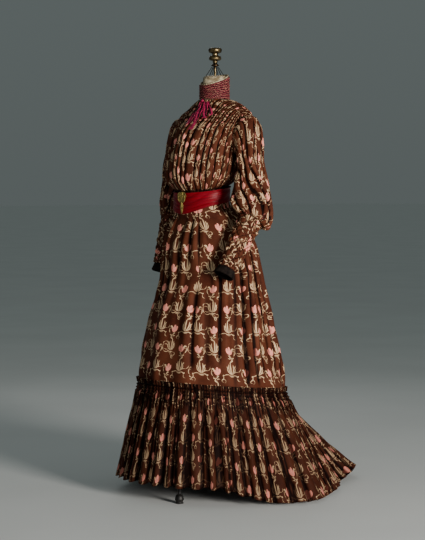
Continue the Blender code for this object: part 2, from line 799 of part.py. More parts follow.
def dress_form():
    """The limbless form, its cap, the turned knob and the struts that carry it."""
    solid_loft("form_torso", "ivory_cloth", FORM, [math.tau * i / 30 for i in range(30)])
    top = FORM[-1].height + 3e-4
    cap = [(0.034, top + 0.004), (0.038, top + 0.0025), (0.038, top)]
    turned("form_neck_cap", "gilt", cap, 16, (0, KNOB_Y, 0))
    foot = cap[0][1] + 3e-4
    knob = [*KNOB, (0.0045, foot)]
    turned("knob", "gilt", [tuple(ring) for ring in knob], 14, (0, KNOB_Y, 0))
    for i in range(STRUT_COUNT):
        angle = math.tau * (i + 0.5) / STRUT_COUNT
        way = Vector((math.sin(angle), -math.cos(angle), 0))
        high = Vector((0, KNOB_Y, KNOB[-1].height - 0.0014)) + way * 0.0112
        low = Vector((0, KNOB_Y, foot + 0.0008)) + way * 0.0315
        rod(f"strut_{i + 1}", "cast_iron", [low, high], STRUT_RADIUS, 1)


def rod(name, material, points, radius, resolution):
    """A round bar along a line of points."""
    data = bpy.data.curves.new(name, "CURVE")
    data.dimensions = "3D"
    data.bevel_depth = radius
    data.bevel_resolution = resolution
    data.use_fill_caps = True
    spline = data.splines.new("POLY")
    spline.points.add(len(points) - 1)
    for point, place in zip(spline.points, points):
        point.co = (*place, 1)
    add(name, material, data)


def stand():
    """The pole, its hub and three iron legs on pad feet."""
    pole = [(POLE_RADIUS, FORM[0].height - 3e-4), (POLE_RADIUS, HUB_HEIGHT + 3e-4)]
    turned("stand_pole", "cast_iron", pole, 16)
    hub = [(0.018, HUB_HEIGHT), (HUB_RADIUS, 0.126), (HUB_RADIUS, 0.100), (0.018, 0.088)]
    turned("stand_hub", "cast_iron", hub, 18)
    for i in range(LEG_COUNT):
        turn = math.radians(FOOT_TURN) + math.tau * i / LEG_COUNT
        way = Vector((math.sin(turn), -math.cos(turn), 0))
        route = [way * reach + Vector((0, 0, height)) for reach, height in LEG_ROUTE]
        rod(f"stand_leg_{i + 1}", "cast_iron", route, 0.0070, 1)
        pad = [(0.006, FOOT_HEIGHT), (0.013, 0.024), (0.015, 0.014), (0.011, 0.006), (0.014, 0.0)]
        turned(f"stand_foot_{i + 1}", "cast_iron", pad, 10, way * FOOT_REACH)


def start():
    """Clears the scene and makes the collections, the pole's empty and the materials."""
    for old in list(bpy.data.objects):
        bpy.data.objects.remove(old)
    dress = bpy.data.collections.new("day_dress_on_form")
    cutters = bpy.data.collections.new("cutters")
    for group in (dress, cutters):
        bpy.context.scene.collection.children.link(group)
    pole = bpy.data.objects.new("pole_on_floor", None)
    pole.location = (0, POLE_Y, 0)
    dress.objects.link(pole)
    made = {}
    for name, (colour, roughness, metallic) in MATERIALS.items():
        material = bpy.data.materials.new(name)
        material.use_nodes = True
        shader = material.node_tree.nodes["Principled BSDF"]
        shader.inputs["Base Color"].default_value = (*colour, 1)
        shader.inputs["Roughness"].default_value = roughness
        shader.inputs["Metallic"].default_value = metallic
        made[name] = material
    return dress, cutters, pole, made


DRESS, CUTTERS, POLE, MADE_MATERIALS = start()
ARMHOLE_CUTTERS = {side: armhole_cutter(side, SLEEVE_FOLDS * STEPS_PER_FOLD) for side in (-1, 1)}
FLOUNCE_EDGES, FLOUNCE_TURNS = fold_turns(FLOUNCE_FOLDS, STEPS_PER_FOLD, 1, 0.16)

bodice_panel("bodice_front", 1, FRONT_FOLDS, 7)
bodice_panel("bodice_back", -1, BACK_FOLDS, 8)
collar()
tie()
belt()
buckle()
for part in GORES:
    skirt_gore(*part)
for part in WIDTHS:
    flounce_width(*part)
for limb in ARMS:
    upper_sleeve(limb)
    lower_sleeve(limb)
    cuff(limb)
dress_form()
stand()
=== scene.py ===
"""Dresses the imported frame: a printed silk day dress with a short train, on a limbless dress form."""

import functools
import logging
from bisect import bisect_right
from dataclasses import dataclass, field
from enum import Enum
from math import asin, atan2, cos, degrees, exp, floor, hypot, pi, radians, sin, sqrt, tau
from typing import Callable, NamedTuple, Sequence

import bmesh
import bpy
from mathutils import Matrix, Vector
from mathutils.noise import noise


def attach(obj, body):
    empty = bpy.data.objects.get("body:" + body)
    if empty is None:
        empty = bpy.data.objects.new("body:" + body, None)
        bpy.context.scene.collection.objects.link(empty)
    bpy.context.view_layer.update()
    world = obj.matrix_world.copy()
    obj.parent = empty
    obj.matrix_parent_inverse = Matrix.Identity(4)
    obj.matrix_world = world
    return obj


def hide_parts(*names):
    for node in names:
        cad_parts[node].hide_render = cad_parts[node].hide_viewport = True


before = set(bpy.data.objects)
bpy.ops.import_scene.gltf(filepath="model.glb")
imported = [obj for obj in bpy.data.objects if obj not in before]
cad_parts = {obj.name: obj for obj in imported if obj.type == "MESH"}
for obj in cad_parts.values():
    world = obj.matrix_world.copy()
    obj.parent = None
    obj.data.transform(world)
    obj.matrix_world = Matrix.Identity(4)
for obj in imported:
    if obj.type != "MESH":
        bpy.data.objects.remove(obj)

LOG = logging.getLogger("day_dress")

# Where the stand's pole meets the floor. Pieces are worked out from it, in metres, and then moved there
POLE = Vector((0.0, -0.133, 0.0))
# The cloth's thickness, and how far its outer face stands off its base where it lies flat
CLOTH = 0.0012
OFF_BASE = 0.0014
# Points as near as this are one
MERGE = 1e-6
# The middle of the armholes
ARMHOLE_Y = -0.006
ARMHOLE_Z = 1.228
# The flounce's tube folds, which the skirt's seams fall between
TUBES = 48
TUBE_SALT = 1
TUBE_CROWD = 0.16
# Shifts how the print slips from fold to fold
SLIP_SALT = 40

Piece = bpy.types.Object
Socket = bpy.types.NodeSocket
Surface = Callable[[float, float], Vector]
Relief = Callable[[float, float], float]
Cut = Callable[[float, float, float], tuple[float, float]]
Hole = Callable[[Vector], bool]


class Slot(Enum):
    """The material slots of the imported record."""

    PRINT = "printed_silk"
    WINE = "wine_silk"
    SATIN = "red_satin"
    VELVET = "black_velvet"
    GILT = "gilt"
    IVORY = "ivory_cloth"
    IRON = "cast_iron"


class Held(Enum):
    HUNG = "hung"
    GATHERED = "gathered"
    STRETCHED = "stretched"


# Small sums that every piece uses


def smooth(f: float) -> float:
    """A share from 0 to 1 that starts and ends level."""
    f = min(max(f, 0.0), 1.0)
    return f * f * (3 - 2 * f)


def uneven(k: int, salt: int) -> float:
    """A fixed number from -1 to 1 for fold k, so that no two neighbours are alike."""
    return 2 * ((sin(12.9898 * k + 78.233 * salt) * 43758.5453) % 1.0) - 1


def bump(at: float, middle: float, reach: float) -> float:
    """A soft hill of height 1 around a middle."""
    return exp(-(((at - middle) / reach) ** 2))


def crest(share: float, sharp: float) -> float:
    """The height of a soft fold across its width: 0 in the valleys and 1 on top."""
    return sin(pi * min(max(share, 0.0), 1.0)) ** sharp


def from_front(turn: float) -> float:
    """A turn in degrees from the centre front, from -180 to 180."""
    return (degrees(turn) + 180) % 360 - 180


def slipped(k: int, neighbour: int, share: float) -> float:
    """How far the print has slipped in fold k, from -1 to 1, evened out where it meets its neighbour.

    Args:
        k: The fold.
        neighbour: The fold on the nearer side.
        share: How far across fold k the point is.

    Returns:
        The slip.
    """
    edge = smooth(abs(share - 0.5) * 12 - 5)
    own = uneven(k, SLIP_SALT)
    return 0.5 * (own + uneven(neighbour, SLIP_SALT)) * edge + own * (1 - edge)


def crumple(point: Vector, scale: Vector, salt: float) -> float:
    """Smooth unevenness from -1 to 1 at a place, with its own size along each axis.

    Args:
        point: The place, in metres.
        scale: How many waves there are in a metre along x, y and z.
        salt: Shifts the pattern, so that pieces differ.

    Returns:
        The unevenness.
    """
    return noise(Vector((point.x * scale.x + salt, point.y * scale.y, point.z * scale.z)))


class SmoothCurve:
    """A curve through given values that is smooth and never overshoots them."""

    def __init__(self, keys: Sequence[float], values: Sequence[float]) -> None:
        """Works out the slopes once.

        Args:
            keys: Places along the curve, rising.
            values: The value at each place.
        """
        self.keys = list(keys)
        self.values = list(values)
        steps = range(len(self.keys) - 1)
        slopes = [(self.values[i + 1] - self.values[i]) / (self.keys[i + 1] - self.keys[i]) for i in steps]
        inner = [0.0 if a * b <= 0 else 2 * a * b / (a + b) for a, b in zip(slopes, slopes[1:])]
        self.slopes = [slopes[0], *inner, slopes[-1]]

    def __call__(self, at: float) -> float:
        """The curve's value at a place, held level past its ends."""
        at = min(max(at, self.keys[0]), self.keys[-1])
        k = min(max(bisect_right(self.keys, at) - 1, 0), len(self.keys) - 2)
        span = self.keys[k + 1] - self.keys[k]
        f = (at - self.keys[k]) / span
        return (
            (2 * f**3 - 3 * f**2 + 1) * self.values[k]
            + (f**3 - 2 * f**2 + f) * span * self.slopes[k]
            + (3 * f**2 - 2 * f**3) * self.values[k + 1]
            + (f**3 - f**2) * span * self.slopes[k + 1]
        )


class Section(NamedTuple):
    """A level ring of the body, local to the pole."""

    height: float
    centre: float
    half_width: float
    front: float
    back: float


class Figure:
    """The body as level rings, read on smooth curves between them."""

    waist = 1.022
    waist_tilt = 0.016
    waist_reach = 0.085
    flounce = 0.362
    flounce_rise = 0.024
    rise_start = 0.75

    def __init__(self, *sections: Section) -> None:
        """Makes one curve for each measure of the rings."""
        heights = [s.height for s in sections]
        self.centre = SmoothCurve(heights, [s.centre for s in sections])
        self.half_width = SmoothCurve(heights, [s.half_width for s in sections])
        self.front = SmoothCurve(heights, [s.front for s in sections])
        self.back = SmoothCurve(heights, [s.back for s in sections])

    @classmethod
    def level(cls, height: float, turn: float) -> float:
        """The true height of a level line, which in front dips at the waist and rises at the flounce."""
        waist = bump(height, cls.waist, cls.waist_reach)
        rise = smooth((cls.rise_start - height) / (cls.rise_start - cls.flounce))
        return height + cos(turn) * (cls.flounce_rise * rise - cls.waist_tilt * waist)

    def point(self, height: float, turn: float) -> Vector:
        """A point on the body at a level and a turn from the centre front."""
        depth = (self.front if cos(turn) > 0 else self.back)(height)
        x = self.half_width(height) * sin(turn)
        y = self.centre(height) - depth * cos(turn)
        return Vector((x, y, self.level(height, turn)))


BODICE = Figure(
    Section(1.022, -0.064, 0.103, 0.079, 0.079),
    Section(1.056, -0.063, 0.104, 0.081, 0.079),
    Section(1.074, -0.058, 0.120, 0.101, 0.085),
    Section(1.095, -0.051, 0.134, 0.122, 0.091),
    Section(1.140, -0.043, 0.141, 0.129, 0.096),
    Section(1.200, -0.034, 0.145, 0.123, 0.099),
    Section(1.250, -0.026, 0.155, 0.108, 0.098),
    Section(1.287, -0.006, 0.160, 0.098, 0.080),
    Section(1.301, 0.006, 0.159, 0.097, 0.070),
    Section(1.326, 0.012, 0.127, 0.081, 0.057),
    Section(1.347, 0.006, 0.088, 0.065, 0.050),
    Section(1.358, -0.007, 0.050, 0.049, 0.048),
)
SKIRT = Figure(
    Section(0.300, -0.018, 0.259, 0.261, 0.262),
    Section(0.362, -0.019, 0.248, 0.248, 0.249),
    Section(0.426, -0.022, 0.236, 0.236, 0.236),
    Section(0.510, -0.027, 0.218, 0.216, 0.218),
    Section(0.595, -0.028, 0.202, 0.197, 0.198),
    Section(0.679, -0.025, 0.184, 0.173, 0.174),
    Section(0.736, -0.025, 0.174, 0.156, 0.160),
    Section(0.792, -0.030, 0.167, 0.147, 0.152),
    Section(0.848, -0.036, 0.162, 0.138, 0.143),
    Section(0.912, -0.048, 0.142, 0.111, 0.119),
    Section(0.964, -0.057, 0.116, 0.087, 0.091),
    Section(0.990, -0.063, 0.106, 0.081, 0.082),
    Section(1.022, -0.064, 0.103, 0.079, 0.079),
)
FORM = Figure(
    Section(0.800, -0.033, 0.138, 0.108, 0.116),
    Section(0.850, -0.036, 0.146, 0.120, 0.126),
    Section(0.912, -0.048, 0.130, 0.099, 0.106),
    Section(0.964, -0.057, 0.108, 0.079, 0.083),
    Section(1.022, -0.064, 0.098, 0.074, 0.074),
    Section(1.056, -0.063, 0.098, 0.075, 0.073),
    Section(1.130, -0.048, 0.122, 0.108, 0.086),
    Section(1.200, -0.034, 0.132, 0.108, 0.090),
    Section(1.265, -0.020, 0.140, 0.086, 0.082),
    Section(1.298, -0.002, 0.132, 0.074, 0.062),
    Section(1.320, 0.004, 0.110, 0.062, 0.048),
    Section(1.340, -0.002, 0.066, 0.048, 0.042),
    Section(1.356, -0.007, 0.045, 0.044, 0.044),
    Section(1.390, -0.006, 0.043, 0.042, 0.042),
    Section(1.438, -0.004, 0.042, 0.041, 0.041),
)


# Shader nodes, wired with short calls


class Wiring:
    """Adds shader nodes to a tree and joins them."""

    def __init__(self, tree: bpy.types.NodeTree) -> None:
        """Keeps the tree that the nodes go in."""
        self.tree = tree

    def add(self, kind: str, **settings: object) -> bpy.types.Node:
        """A new node with its settings."""
        node = self.tree.nodes.new(kind)
        for name, value in settings.items():
            setattr(node, name, value)
        return node

    def feed(self, socket: Socket, value: object) -> None:
        """Joins a socket to another node's output, or sets its number."""
        if isinstance(value, Socket):
            self.tree.links.new(value, socket)
        elif value is not None:
            socket.default_value = value

    def sum(self, operation: str, a: object, b: object = None, c: object = None) -> Socket:
        """A sum of numbers, such as ADD, MULTIPLY or MULTIPLY_ADD."""
        node = self.add("ShaderNodeMath", operation=operation)
        for socket, value in zip(node.inputs, (a, b, c)):
            self.feed(socket, value)
        return node.outputs[0]

    def clamped(self, operation: str, a: object, b: object = None) -> Socket:
        """A sum of numbers held between 0 and 1."""
        result = self.sum(operation, a, b)
        result.node.use_clamp = True
        return result

    def vector(self, operation: str, a: object, b: object = None, to_number: bool = False) -> Socket:
        """A sum of vectors, such as SUBTRACT, or one such as LENGTH that gives a number."""
        node = self.add("ShaderNodeVectorMath", operation=operation)
        self.feed(node.inputs[0], a)
        self.feed(node.inputs[1], b)
        return node.outputs["Value" if to_number else "Vector"]

    def parts(self, vector: Socket) -> tuple[Socket, ...]:
        """The x, y and z of a vector."""
        node = self.add("ShaderNodeSeparateXYZ")
        self.feed(node.inputs[0], vector)
        return tuple(node.outputs)

    def joined(self, x: object, y: object, z: object = 0.0) -> Socket:
        """A vector of three numbers."""
        node = self.add("ShaderNodeCombineXYZ")
        for socket, value in zip(node.inputs, (x, y, z)):
            self.feed(socket, value)
        return node.outputs[0]

    def mix(self, share: object, a: object, b: object) -> Socket:
        """Two colours mixed by a share of the second."""
        node = self.add("ShaderNodeMix", data_type="RGBA")
        self.feed(node.inputs[0], share)
        self.feed(node.inputs[6], a)
        self.feed(node.inputs[7], b)
        return node.outputs[2]

    def choose(self, share: object, a: object, b: object) -> Socket:
        """Two numbers mixed by a share of the second."""
        node = self.add("ShaderNodeMix", data_type="FLOAT")
        self.feed(node.inputs[0], share)
        self.feed(node.inputs[2], a)
        self.feed(node.inputs[3], b)
        return node.outputs[0]

    def noise(self, vector: Socket, scale: float, detail: float = 2.0) -> Socket:
        """Cloudy unevenness from 0 to 1."""
        node = self.add("ShaderNodeTexNoise")
        self.feed(node.inputs["Vector"], vector)
        node.inputs["Scale"].default_value = scale
        node.inputs["Detail"].default_value = detail
        return node.outputs[0]

    def between(
        self, value: object, low: float, high: float, to_low: float = 0.0, to_high: float = 1.0
    ) -> Socket:
        """A number moved from one range to another and held inside it."""
        node = self.add("ShaderNodeMapRange")
        for socket, number in zip(node.inputs, (value, low, high, to_low, to_high)):
            self.feed(socket, number)
        return node.outputs[0]

    def raised(self, height: Socket, distance: float, strength: float) -> Socket:
        """A surface bent by a height."""
        node = self.add("ShaderNodeBump")
        node.inputs["Strength"].default_value = strength
        node.inputs["Distance"].default_value = distance
        self.feed(node.inputs["Height"], height)
        return node.outputs[0]


class Colour(NamedTuple):
    """A linear colour."""

    red: float
    green: float
    blue: float

    def rgba(self) -> tuple[float, float, float, float]:
        """The colour as a socket takes it."""
        return (*self, 1.0)


@dataclass(frozen=True)
class Finish:
    """A plain finish: the start of every material."""

    name: str
    colour: Colour
    roughness: float
    metallic: float = 0.0
    sheen: float = 0.0
    gloss: float = 0.5

    def material(self) -> bpy.types.Material:
        """Makes the material once and then hands out the same one."""
        made = bpy.data.materials.get(self.name)
        if made is None:
            made = bpy.data.materials.new(self.name)
            made.use_nodes = True
            shader = made.node_tree.nodes["Principled BSDF"]
            shader.inputs["Base Color"].default_value = self.colour.rgba()
            shader.inputs["Roughness"].default_value = self.roughness
            shader.inputs["Metallic"].default_value = self.metallic
            shader.inputs["Specular IOR Level"].default_value = self.gloss
            shader.inputs["Sheen Weight"].default_value = self.sheen
            shader.inputs["Sheen Roughness"].default_value = 0.4
            self.paint(Wiring(made.node_tree), shader)
        return made

    def paint(self, wires: Wiring, shader: bpy.types.Node) -> None:
        """Adds the finish's own pattern. A plain finish has none."""

    @staticmethod
    def place(wires: Wiring) -> Socket:
        """The object's own coordinates, in metres."""
        return wires.add("ShaderNodeTexCoord").outputs["Object"]

    @staticmethod
    def hollow(wires: Wiring) -> Socket:
        """How deep a point lies between folds, from 0 to 1, for painting shade there."""
        return wires.add("ShaderNodeAttribute", attribute_name="hollow").outputs["Fac"]

    @staticmethod
    def on_cloth(wires: Wiring) -> Socket:
        """The flat cloth's coordinates, in metres."""
        return wires.add("ShaderNodeUVMap", uv_map="cloth").outputs[0]


class Ink(Enum):
    """What a brush stroke of the print is coloured with."""

    CREAM = 0
    PINK = 1
    GAP = 2


class Rows(Enum):
    """Which rows of sprigs a stroke or a curl is drawn in."""

    ALL = 0
    STRAIGHT = 1
    TURNED = 2


class Brush(NamedTuple):
    """One tapering stroke of the print, in millimetres and degrees."""

    x: float
    y: float
    turn: float
    length: float
    bend: float
    width: float
    ink: Ink = Ink.CREAM
    rows: Rows = Rows.ALL


class Curl(NamedTuple):
    """One curled tendril of the print, in millimetres and degrees."""

    x: float
    y: float
    turn: float
    radius: float
    growth: float
    width: float
    ink: Ink = Ink.CREAM
    rows: Rows = Rows.ALL


@dataclass(frozen=True)
class PrintedSilk(Finish):
    """Dull brown silk printed with a half-drop of cream sprigs, each under a pink blossom."""

    across: float = 105.0
    down: float = 74.0
    blossom_share: float = 20.0
    stem_share: float = 13.0
    stem_height: float = 29.0
    blossom_top: float = 61.0
    cream: Colour = Colour(0.68, 0.46, 0.27)
    pink: Colour = Colour(0.92, 0.33, 0.25)
    shade: Colour = Colour(0.045, 0.011, 0.006)
    strokes: tuple[Brush | Curl, ...] = (
        # The blossom, and the bud beside it on its looping line
        Brush(-3, 32, 112, 25, 2.0, 4.8, Ink.PINK), Brush(-2, 31, 93, 29, 0.0, 5.8, Ink.PINK),
        Brush(-2, 31, 70, 20, -2.5, 4.2, Ink.PINK), Brush(-5, 41, 102, 13, 0.6, 0.7, Ink.GAP),
        Brush(0, 41, 84, 13, -0.6, 0.7, Ink.GAP), Brush(7, 44, 50, 12, 2.5, 2.8),
        Curl(12, 50, 150, 4.8, 0.3, 1.5), Brush(16, 48, 258, 24, 4.0, 1.4),
        # The twisting stem and its small leaves
        Brush(-3, 34, -62, 20, -3.5, 1.8), Brush(7, 23, -118, 24, 4.0, 1.9),
        Brush(2, 26, 152, 11, 3.0, 1.6), Brush(5, 20, 28, 11, -3.0, 1.7), Brush(0, 13, 158, 11, -3.0, 1.7),
        Brush(-2, 9, 20, 13, -3.5, 1.6),
        # The plume of leaves, with the gaps between its blades
        Brush(0, -39, 92, 46, 1.5, 2.6), Brush(-1, -39, 101, 38, 4.0, 2.2),
        Brush(1, -39, 80, 37, -4.0, 2.2), Brush(-2, -38, 114, 28, 5.0, 1.8),
        Brush(2, -38, 66, 28, -5.0, 1.8), Brush(-13, -20, 112, 10, -2.5, 1.5),
        Brush(13, -20, 66, 11, 3.0, 1.5), Brush(8, -12, 40, 11, -3.0, 1.3),
        Brush(-2, -32, 97, 28, 2.6, 0.7, Ink.GAP), Brush(2, -32, 84, 28, -1.6, 0.7, Ink.GAP),
        # The base
        Brush(-11, -42, 6, 24, -2.5, 1.9), Brush(-6, -46, 4, 16, -1.5, 1.0),
        # The straight rows' tendrils and beads
        Brush(-6, -41, 190, 25, -4.0, 1.4, rows=Rows.STRAIGHT),
        Brush(-31, -46, 70, 6, 0.0, 2.3, rows=Rows.STRAIGHT),
        Brush(-30, -44, 248, 18, 3.5, 1.4, rows=Rows.STRAIGHT),
        Curl(-31, -62, 120, 6.0, -0.7, 1.4, rows=Rows.STRAIGHT),
        Brush(9, -41, -32, 14, 2.0, 1.8, rows=Rows.STRAIGHT),
        Brush(19, -47, 50, 6, 0.0, 2.3, rows=Rows.STRAIGHT),
        Brush(20, -49, -60, 15, -4.0, 1.3, rows=Rows.STRAIGHT),
        Brush(6, -36, 20, 20, 3.0, 1.2, rows=Rows.STRAIGHT),
        Brush(24, -29, 60, 17, -3.0, 1.2, rows=Rows.STRAIGHT),
        # The turned rows' scroll, curl and beaded tail
        Brush(10, -14, 28, 18, 3.5, 1.3, rows=Rows.TURNED),
        Brush(25, -6, -62, 13, 3.0, 1.2, rows=Rows.TURNED),
        Brush(13, -22, 12, 16, 4.0, 1.2, rows=Rows.TURNED),
        Brush(30, -16, -98, 26, 4.0, 1.5, rows=Rows.TURNED),
        Brush(27, -42, 176, 20, 4.0, 1.5, rows=Rows.TURNED),
        Brush(27, -33, 186, 17, 2.5, 1.1, rows=Rows.TURNED),
        Curl(-15, -50, 200, 6.2, 0.6, 1.5, rows=Rows.TURNED),
        Brush(-3, -43, 262, 16, 3.0, 1.4, rows=Rows.TURNED),
        Brush(-6, -57, 232, 15, 4.0, 1.5, rows=Rows.TURNED),
        Brush(-10, -60, 40, 5, 0.0, 2.1, rows=Rows.TURNED),
        Brush(-14, -64, 55, 5, 0.0, 2.1, rows=Rows.TURNED),
    )

    def paint(self, wires: Wiring, shader: bpy.types.Node) -> None:
        """Draws the sprigs on the flat cloth, gives the silk its slubs and wear, and paints shade between its
        folds.
        """
        cloth = self.on_cloth(wires)
        spot, turned = self.sprig_place(wires, cloth)
        groups = {Brush: self.stroke_group(), Curl: self.curl_group()}
        shown = {Rows.ALL: 1.0, Rows.TURNED: turned, Rows.STRAIGHT: wires.sum("SUBTRACT", 1.0, turned)}
        inks: dict[Ink, object] = {ink: 0.0 for ink in Ink}
        for rows, share in shown.items():
            for ink in Ink:
                drawn = [
                    self.drawn(wires, groups[type(mark)], spot, mark[:6])
                    for mark in self.strokes
                    if (mark.ink, mark.rows) == (ink, rows)
                ]
                if drawn:
                    most = functools.reduce(functools.partial(wires.sum, "MAXIMUM"), drawn)
                    inks[ink] = wires.sum("MAXIMUM", inks[ink], wires.sum("MULTIPLY", most, share))
        cream = wires.sum("SUBTRACT", inks[Ink.CREAM], inks[Ink.GAP])
        pink = wires.sum("SUBTRACT", inks[Ink.PINK], wires.sum("MULTIPLY", inks[Ink.GAP], 0.6))
        clouds = wires.noise(cloth, 9.0, 3.0)
        slub = wires.noise(wires.vector("MULTIPLY", cloth, (60.0, 900.0, 1.0)), 1.0, 2.0)
        ground = wires.mix(wires.between(clouds, 0.3, 0.7), self.colour.rgba(), self.shade.rgba())
        ground = wires.mix(wires.between(slub, 0.55, 0.75, 0.0, 0.25), ground, (0.20, 0.062, 0.024, 1.0))
        faded = wires.between(wires.noise(cloth, 90.0, 3.0), 0.30, 0.60, 0.62, 1.0)
        printed = wires.mix(wires.clamped("MULTIPLY", cream, faded), ground, self.cream.rgba())
        printed = wires.mix(wires.clamped("MULTIPLY", pink, faded), printed, self.pink.rgba())
        # Painted shade: in the hollows between folds the printed colour falls to a few hundredths of itself
        deep = wires.vector("MULTIPLY", printed, (0.06, 0.04, 0.035))
        sunk = wires.between(self.hollow(wires), 0.10, 0.85)
        wires.feed(shader.inputs["Base Color"], wires.mix(sunk, printed, deep))
        rough = wires.between(clouds, 0.2, 0.8, self.roughness - 0.08, self.roughness + 0.10)
        wires.feed(shader.inputs["Roughness"], rough)
        weave = wires.sum("ADD", wires.sum("MULTIPLY", slub, 0.4), wires.noise(cloth, 240.0, 2.0))
        wires.feed(shader.inputs["Normal"], wires.raised(weave, 0.0007, 0.5))

    def sprig_place(self, wires: Wiring, cloth: Socket) -> tuple[Socket, Socket]:
        """Where a point lies on its sprig, in millimetres.

        The sprigs stand in rows, each half a repeat along from the last. Between the middles of two
        rows the lower row's sprigs have the strips above them, and the upper row's hang between.
        Sprigs of every other row are turned left to right.

        Args:
            wires: The tree's wiring.
            cloth: The flat cloth's coordinates, in metres.

        Returns:
            The place on the sprig, and 1 where the sprig is a turned one.
        """
        x, y, _ = wires.parts(wires.vector("MULTIPLY", cloth, (1000.0, 1000.0, 0.0)))
        row = wires.sum("FLOOR", wires.sum("DIVIDE", y, self.down))
        odd = wires.sum("FLOORED_MODULO", row, 2.0)
        above = wires.sum("SUBTRACT", y, wires.sum("MULTIPLY", row, self.down))
        half = self.across / 2
        low_x = wires.sum("WRAP", wires.sum("MULTIPLY_ADD", odd, -half, x), half, -half)
        high_x = wires.sum("WRAP", wires.sum("ADD", low_x, half), half, -half)
        tall = wires.sum("GREATER_THAN", above, self.stem_height)
        share = wires.choose(tall, self.stem_share, self.blossom_share)
        share = wires.sum("MULTIPLY", share, wires.sum("LESS_THAN", above, self.blossom_top))
        high = wires.sum("GREATER_THAN", wires.sum("ABSOLUTE", low_x), share)
        side_x = wires.choose(high, low_x, high_x)
        side_y = wires.choose(high, above, wires.sum("SUBTRACT", above, self.down))
        turned = wires.sum("ABSOLUTE", wires.sum("SUBTRACT", odd, high))
        hand = wires.sum("MULTIPLY_ADD", turned, -2.0, 1.0)
        return wires.joined(wires.sum("MULTIPLY", side_x, hand), side_y), turned

    @staticmethod
    def drawn(wires: Wiring, group: bpy.types.NodeTree, spot: Socket, sizes: tuple) -> Socket:
        """The ink of one stroke or curl.

        Args:
            wires: The tree's wiring.
            group: The stroke or the curl.
            spot: The place on the sprig.
            sizes: Its x, y, turn and three sizes.

        Returns:
            How much ink there is, from 0 to 1.
        """
        node = wires.add("ShaderNodeGroup")
        node.node_tree = group
        x, y, turn, *rest = sizes
        for socket, value in zip(node.inputs, (spot, (x, y, 0.0), radians(-turn), *rest)):
            wires.feed(socket, value)
        return node.outputs[0]

    @staticmethod
    def new_group(
        name: str, sizes: Sequence[str]
    ) -> tuple[bpy.types.NodeTree, Wiring, dict[str, Socket], bpy.types.Node]:
        """A node group that first moves and turns the point to the drawn shape.

        Args:
            name: The group's name.
            sizes: Names of the shape's own sizes.

        Returns:
            The group, its wiring, its sockets by name with x and y, and its output node.
        """
        group = bpy.data.node_groups.new(name, "ShaderNodeTree")
        for label in ("Point", "Place"):
            group.interface.new_socket(label, in_out="INPUT", socket_type="NodeSocketVector")
        for label in ("Turn", *sizes):
            group.interface.new_socket(label, in_out="INPUT", socket_type="NodeSocketFloat")
        group.interface.new_socket("Ink", in_out="OUTPUT", socket_type="NodeSocketFloat")
        wires = Wiring(group)
        entry = wires.add("NodeGroupInput")
        leave = wires.add("NodeGroupOutput")
        turned = wires.add("ShaderNodeVectorRotate", rotation_type="Z_AXIS")
        moved = wires.vector("SUBTRACT", entry.outputs["Point"], entry.outputs["Place"])
        wires.feed(turned.inputs["Vector"], moved)
        wires.feed(turned.inputs["Angle"], entry.outputs["Turn"])
        sockets = {label: entry.outputs[label] for label in sizes}
        sockets["x"], sockets["y"], _ = wires.parts(turned.outputs[0])
        return group, wires, sockets, leave

    def stroke_group(self) -> bpy.types.NodeTree:
        """A brush stroke: pointed at both ends, widest in the middle and bent like a bow."""
        group, wires, at, leave = self.new_group("brush_stroke", ("Length", "Bend", "Width"))
        along = wires.sum("DIVIDE", at["x"], at["Length"])
        bow = wires.sum("MULTIPLY", wires.sum("MULTIPLY", along, wires.sum("SUBTRACT", 1.0, along)), 4.0)
        bow = wires.sum("MAXIMUM", bow, 0.0)
        off = wires.sum("ABSOLUTE", wires.sum("SUBTRACT", at["y"], wires.sum("MULTIPLY", at["Bend"], bow)))
        reach = wires.sum("MULTIPLY", at["Width"], wires.sum("SQRT", bow))
        wires.feed(leave.inputs[0], wires.clamped("MULTIPLY", wires.sum("SUBTRACT", reach, off), 1.6))
        return group

    def curl_group(self) -> bpy.types.NodeTree:
        """A tendril's curl: one turn of a spiral, thinner towards its ends."""
        group, wires, at, leave = self.new_group("tendril_curl", ("Radius", "Growth", "Width"))
        turn = wires.sum("ARCTAN2", at["y"], at["x"])
        spiral = wires.sum("MULTIPLY_ADD", at["Growth"], turn, at["Radius"])
        far = wires.vector("LENGTH", wires.joined(at["x"], at["y"]), to_number=True)
        off = wires.sum("ABSOLUTE", wires.sum("SUBTRACT", far, spiral))
        thin = wires.sum("SUBTRACT", 1.0, wires.sum("MULTIPLY", wires.sum("ABSOLUTE", turn), 0.22))
        reach = wires.sum("MULTIPLY", at["Width"], thin)
        wires.feed(leave.inputs[0], wires.clamped("MULTIPLY", wires.sum("SUBTRACT", reach, off), 1.6))
        return group


@dataclass(frozen=True)
class RuchedSilk(Finish):
    """Wine-red ribbon silk with small cream and brown flecks woven across it."""

    # The first colour is both the darker streaks' real tone and the painted shade in the hollows between
    # folds
    streak_and_shade: Colour = Colour(0.028, 0.003, 0.008)
    fleck: Colour = Colour(0.50, 0.27, 0.17)
    flecks: float = 0.5

    def paint(self, wires: Wiring, shader: bpy.types.Node) -> None:
        """Streaks along the cloth, flecks where the weave shows, and painted shade between the folds."""
        cloth = self.on_cloth(wires)
        streak = wires.noise(wires.vector("MULTIPLY", cloth, (60.0, 420.0, 1.0)), 1.0, 3.0)
        spots = wires.noise(wires.vector("MULTIPLY", cloth, (260.0, 520.0, 1.0)), 1.0, 1.0)
        base = wires.mix(wires.between(streak, 0.30, 0.62), self.streak_and_shade.rgba(), self.colour.rgba())
        share = wires.between(spots, 0.52, 0.64, 0.0, self.flecks)
        base = wires.mix(share, base, self.fleck.rgba())
        # Painted shade: the hollows between folds fall to the dark colour
        sunk = wires.between(self.hollow(wires), 0.1, 0.8)
        wires.feed(shader.inputs["Base Color"], wires.mix(sunk, base, self.streak_and_shade.rgba()))
        wires.feed(shader.inputs["Normal"], wires.raised(streak, 0.0010, 0.5))


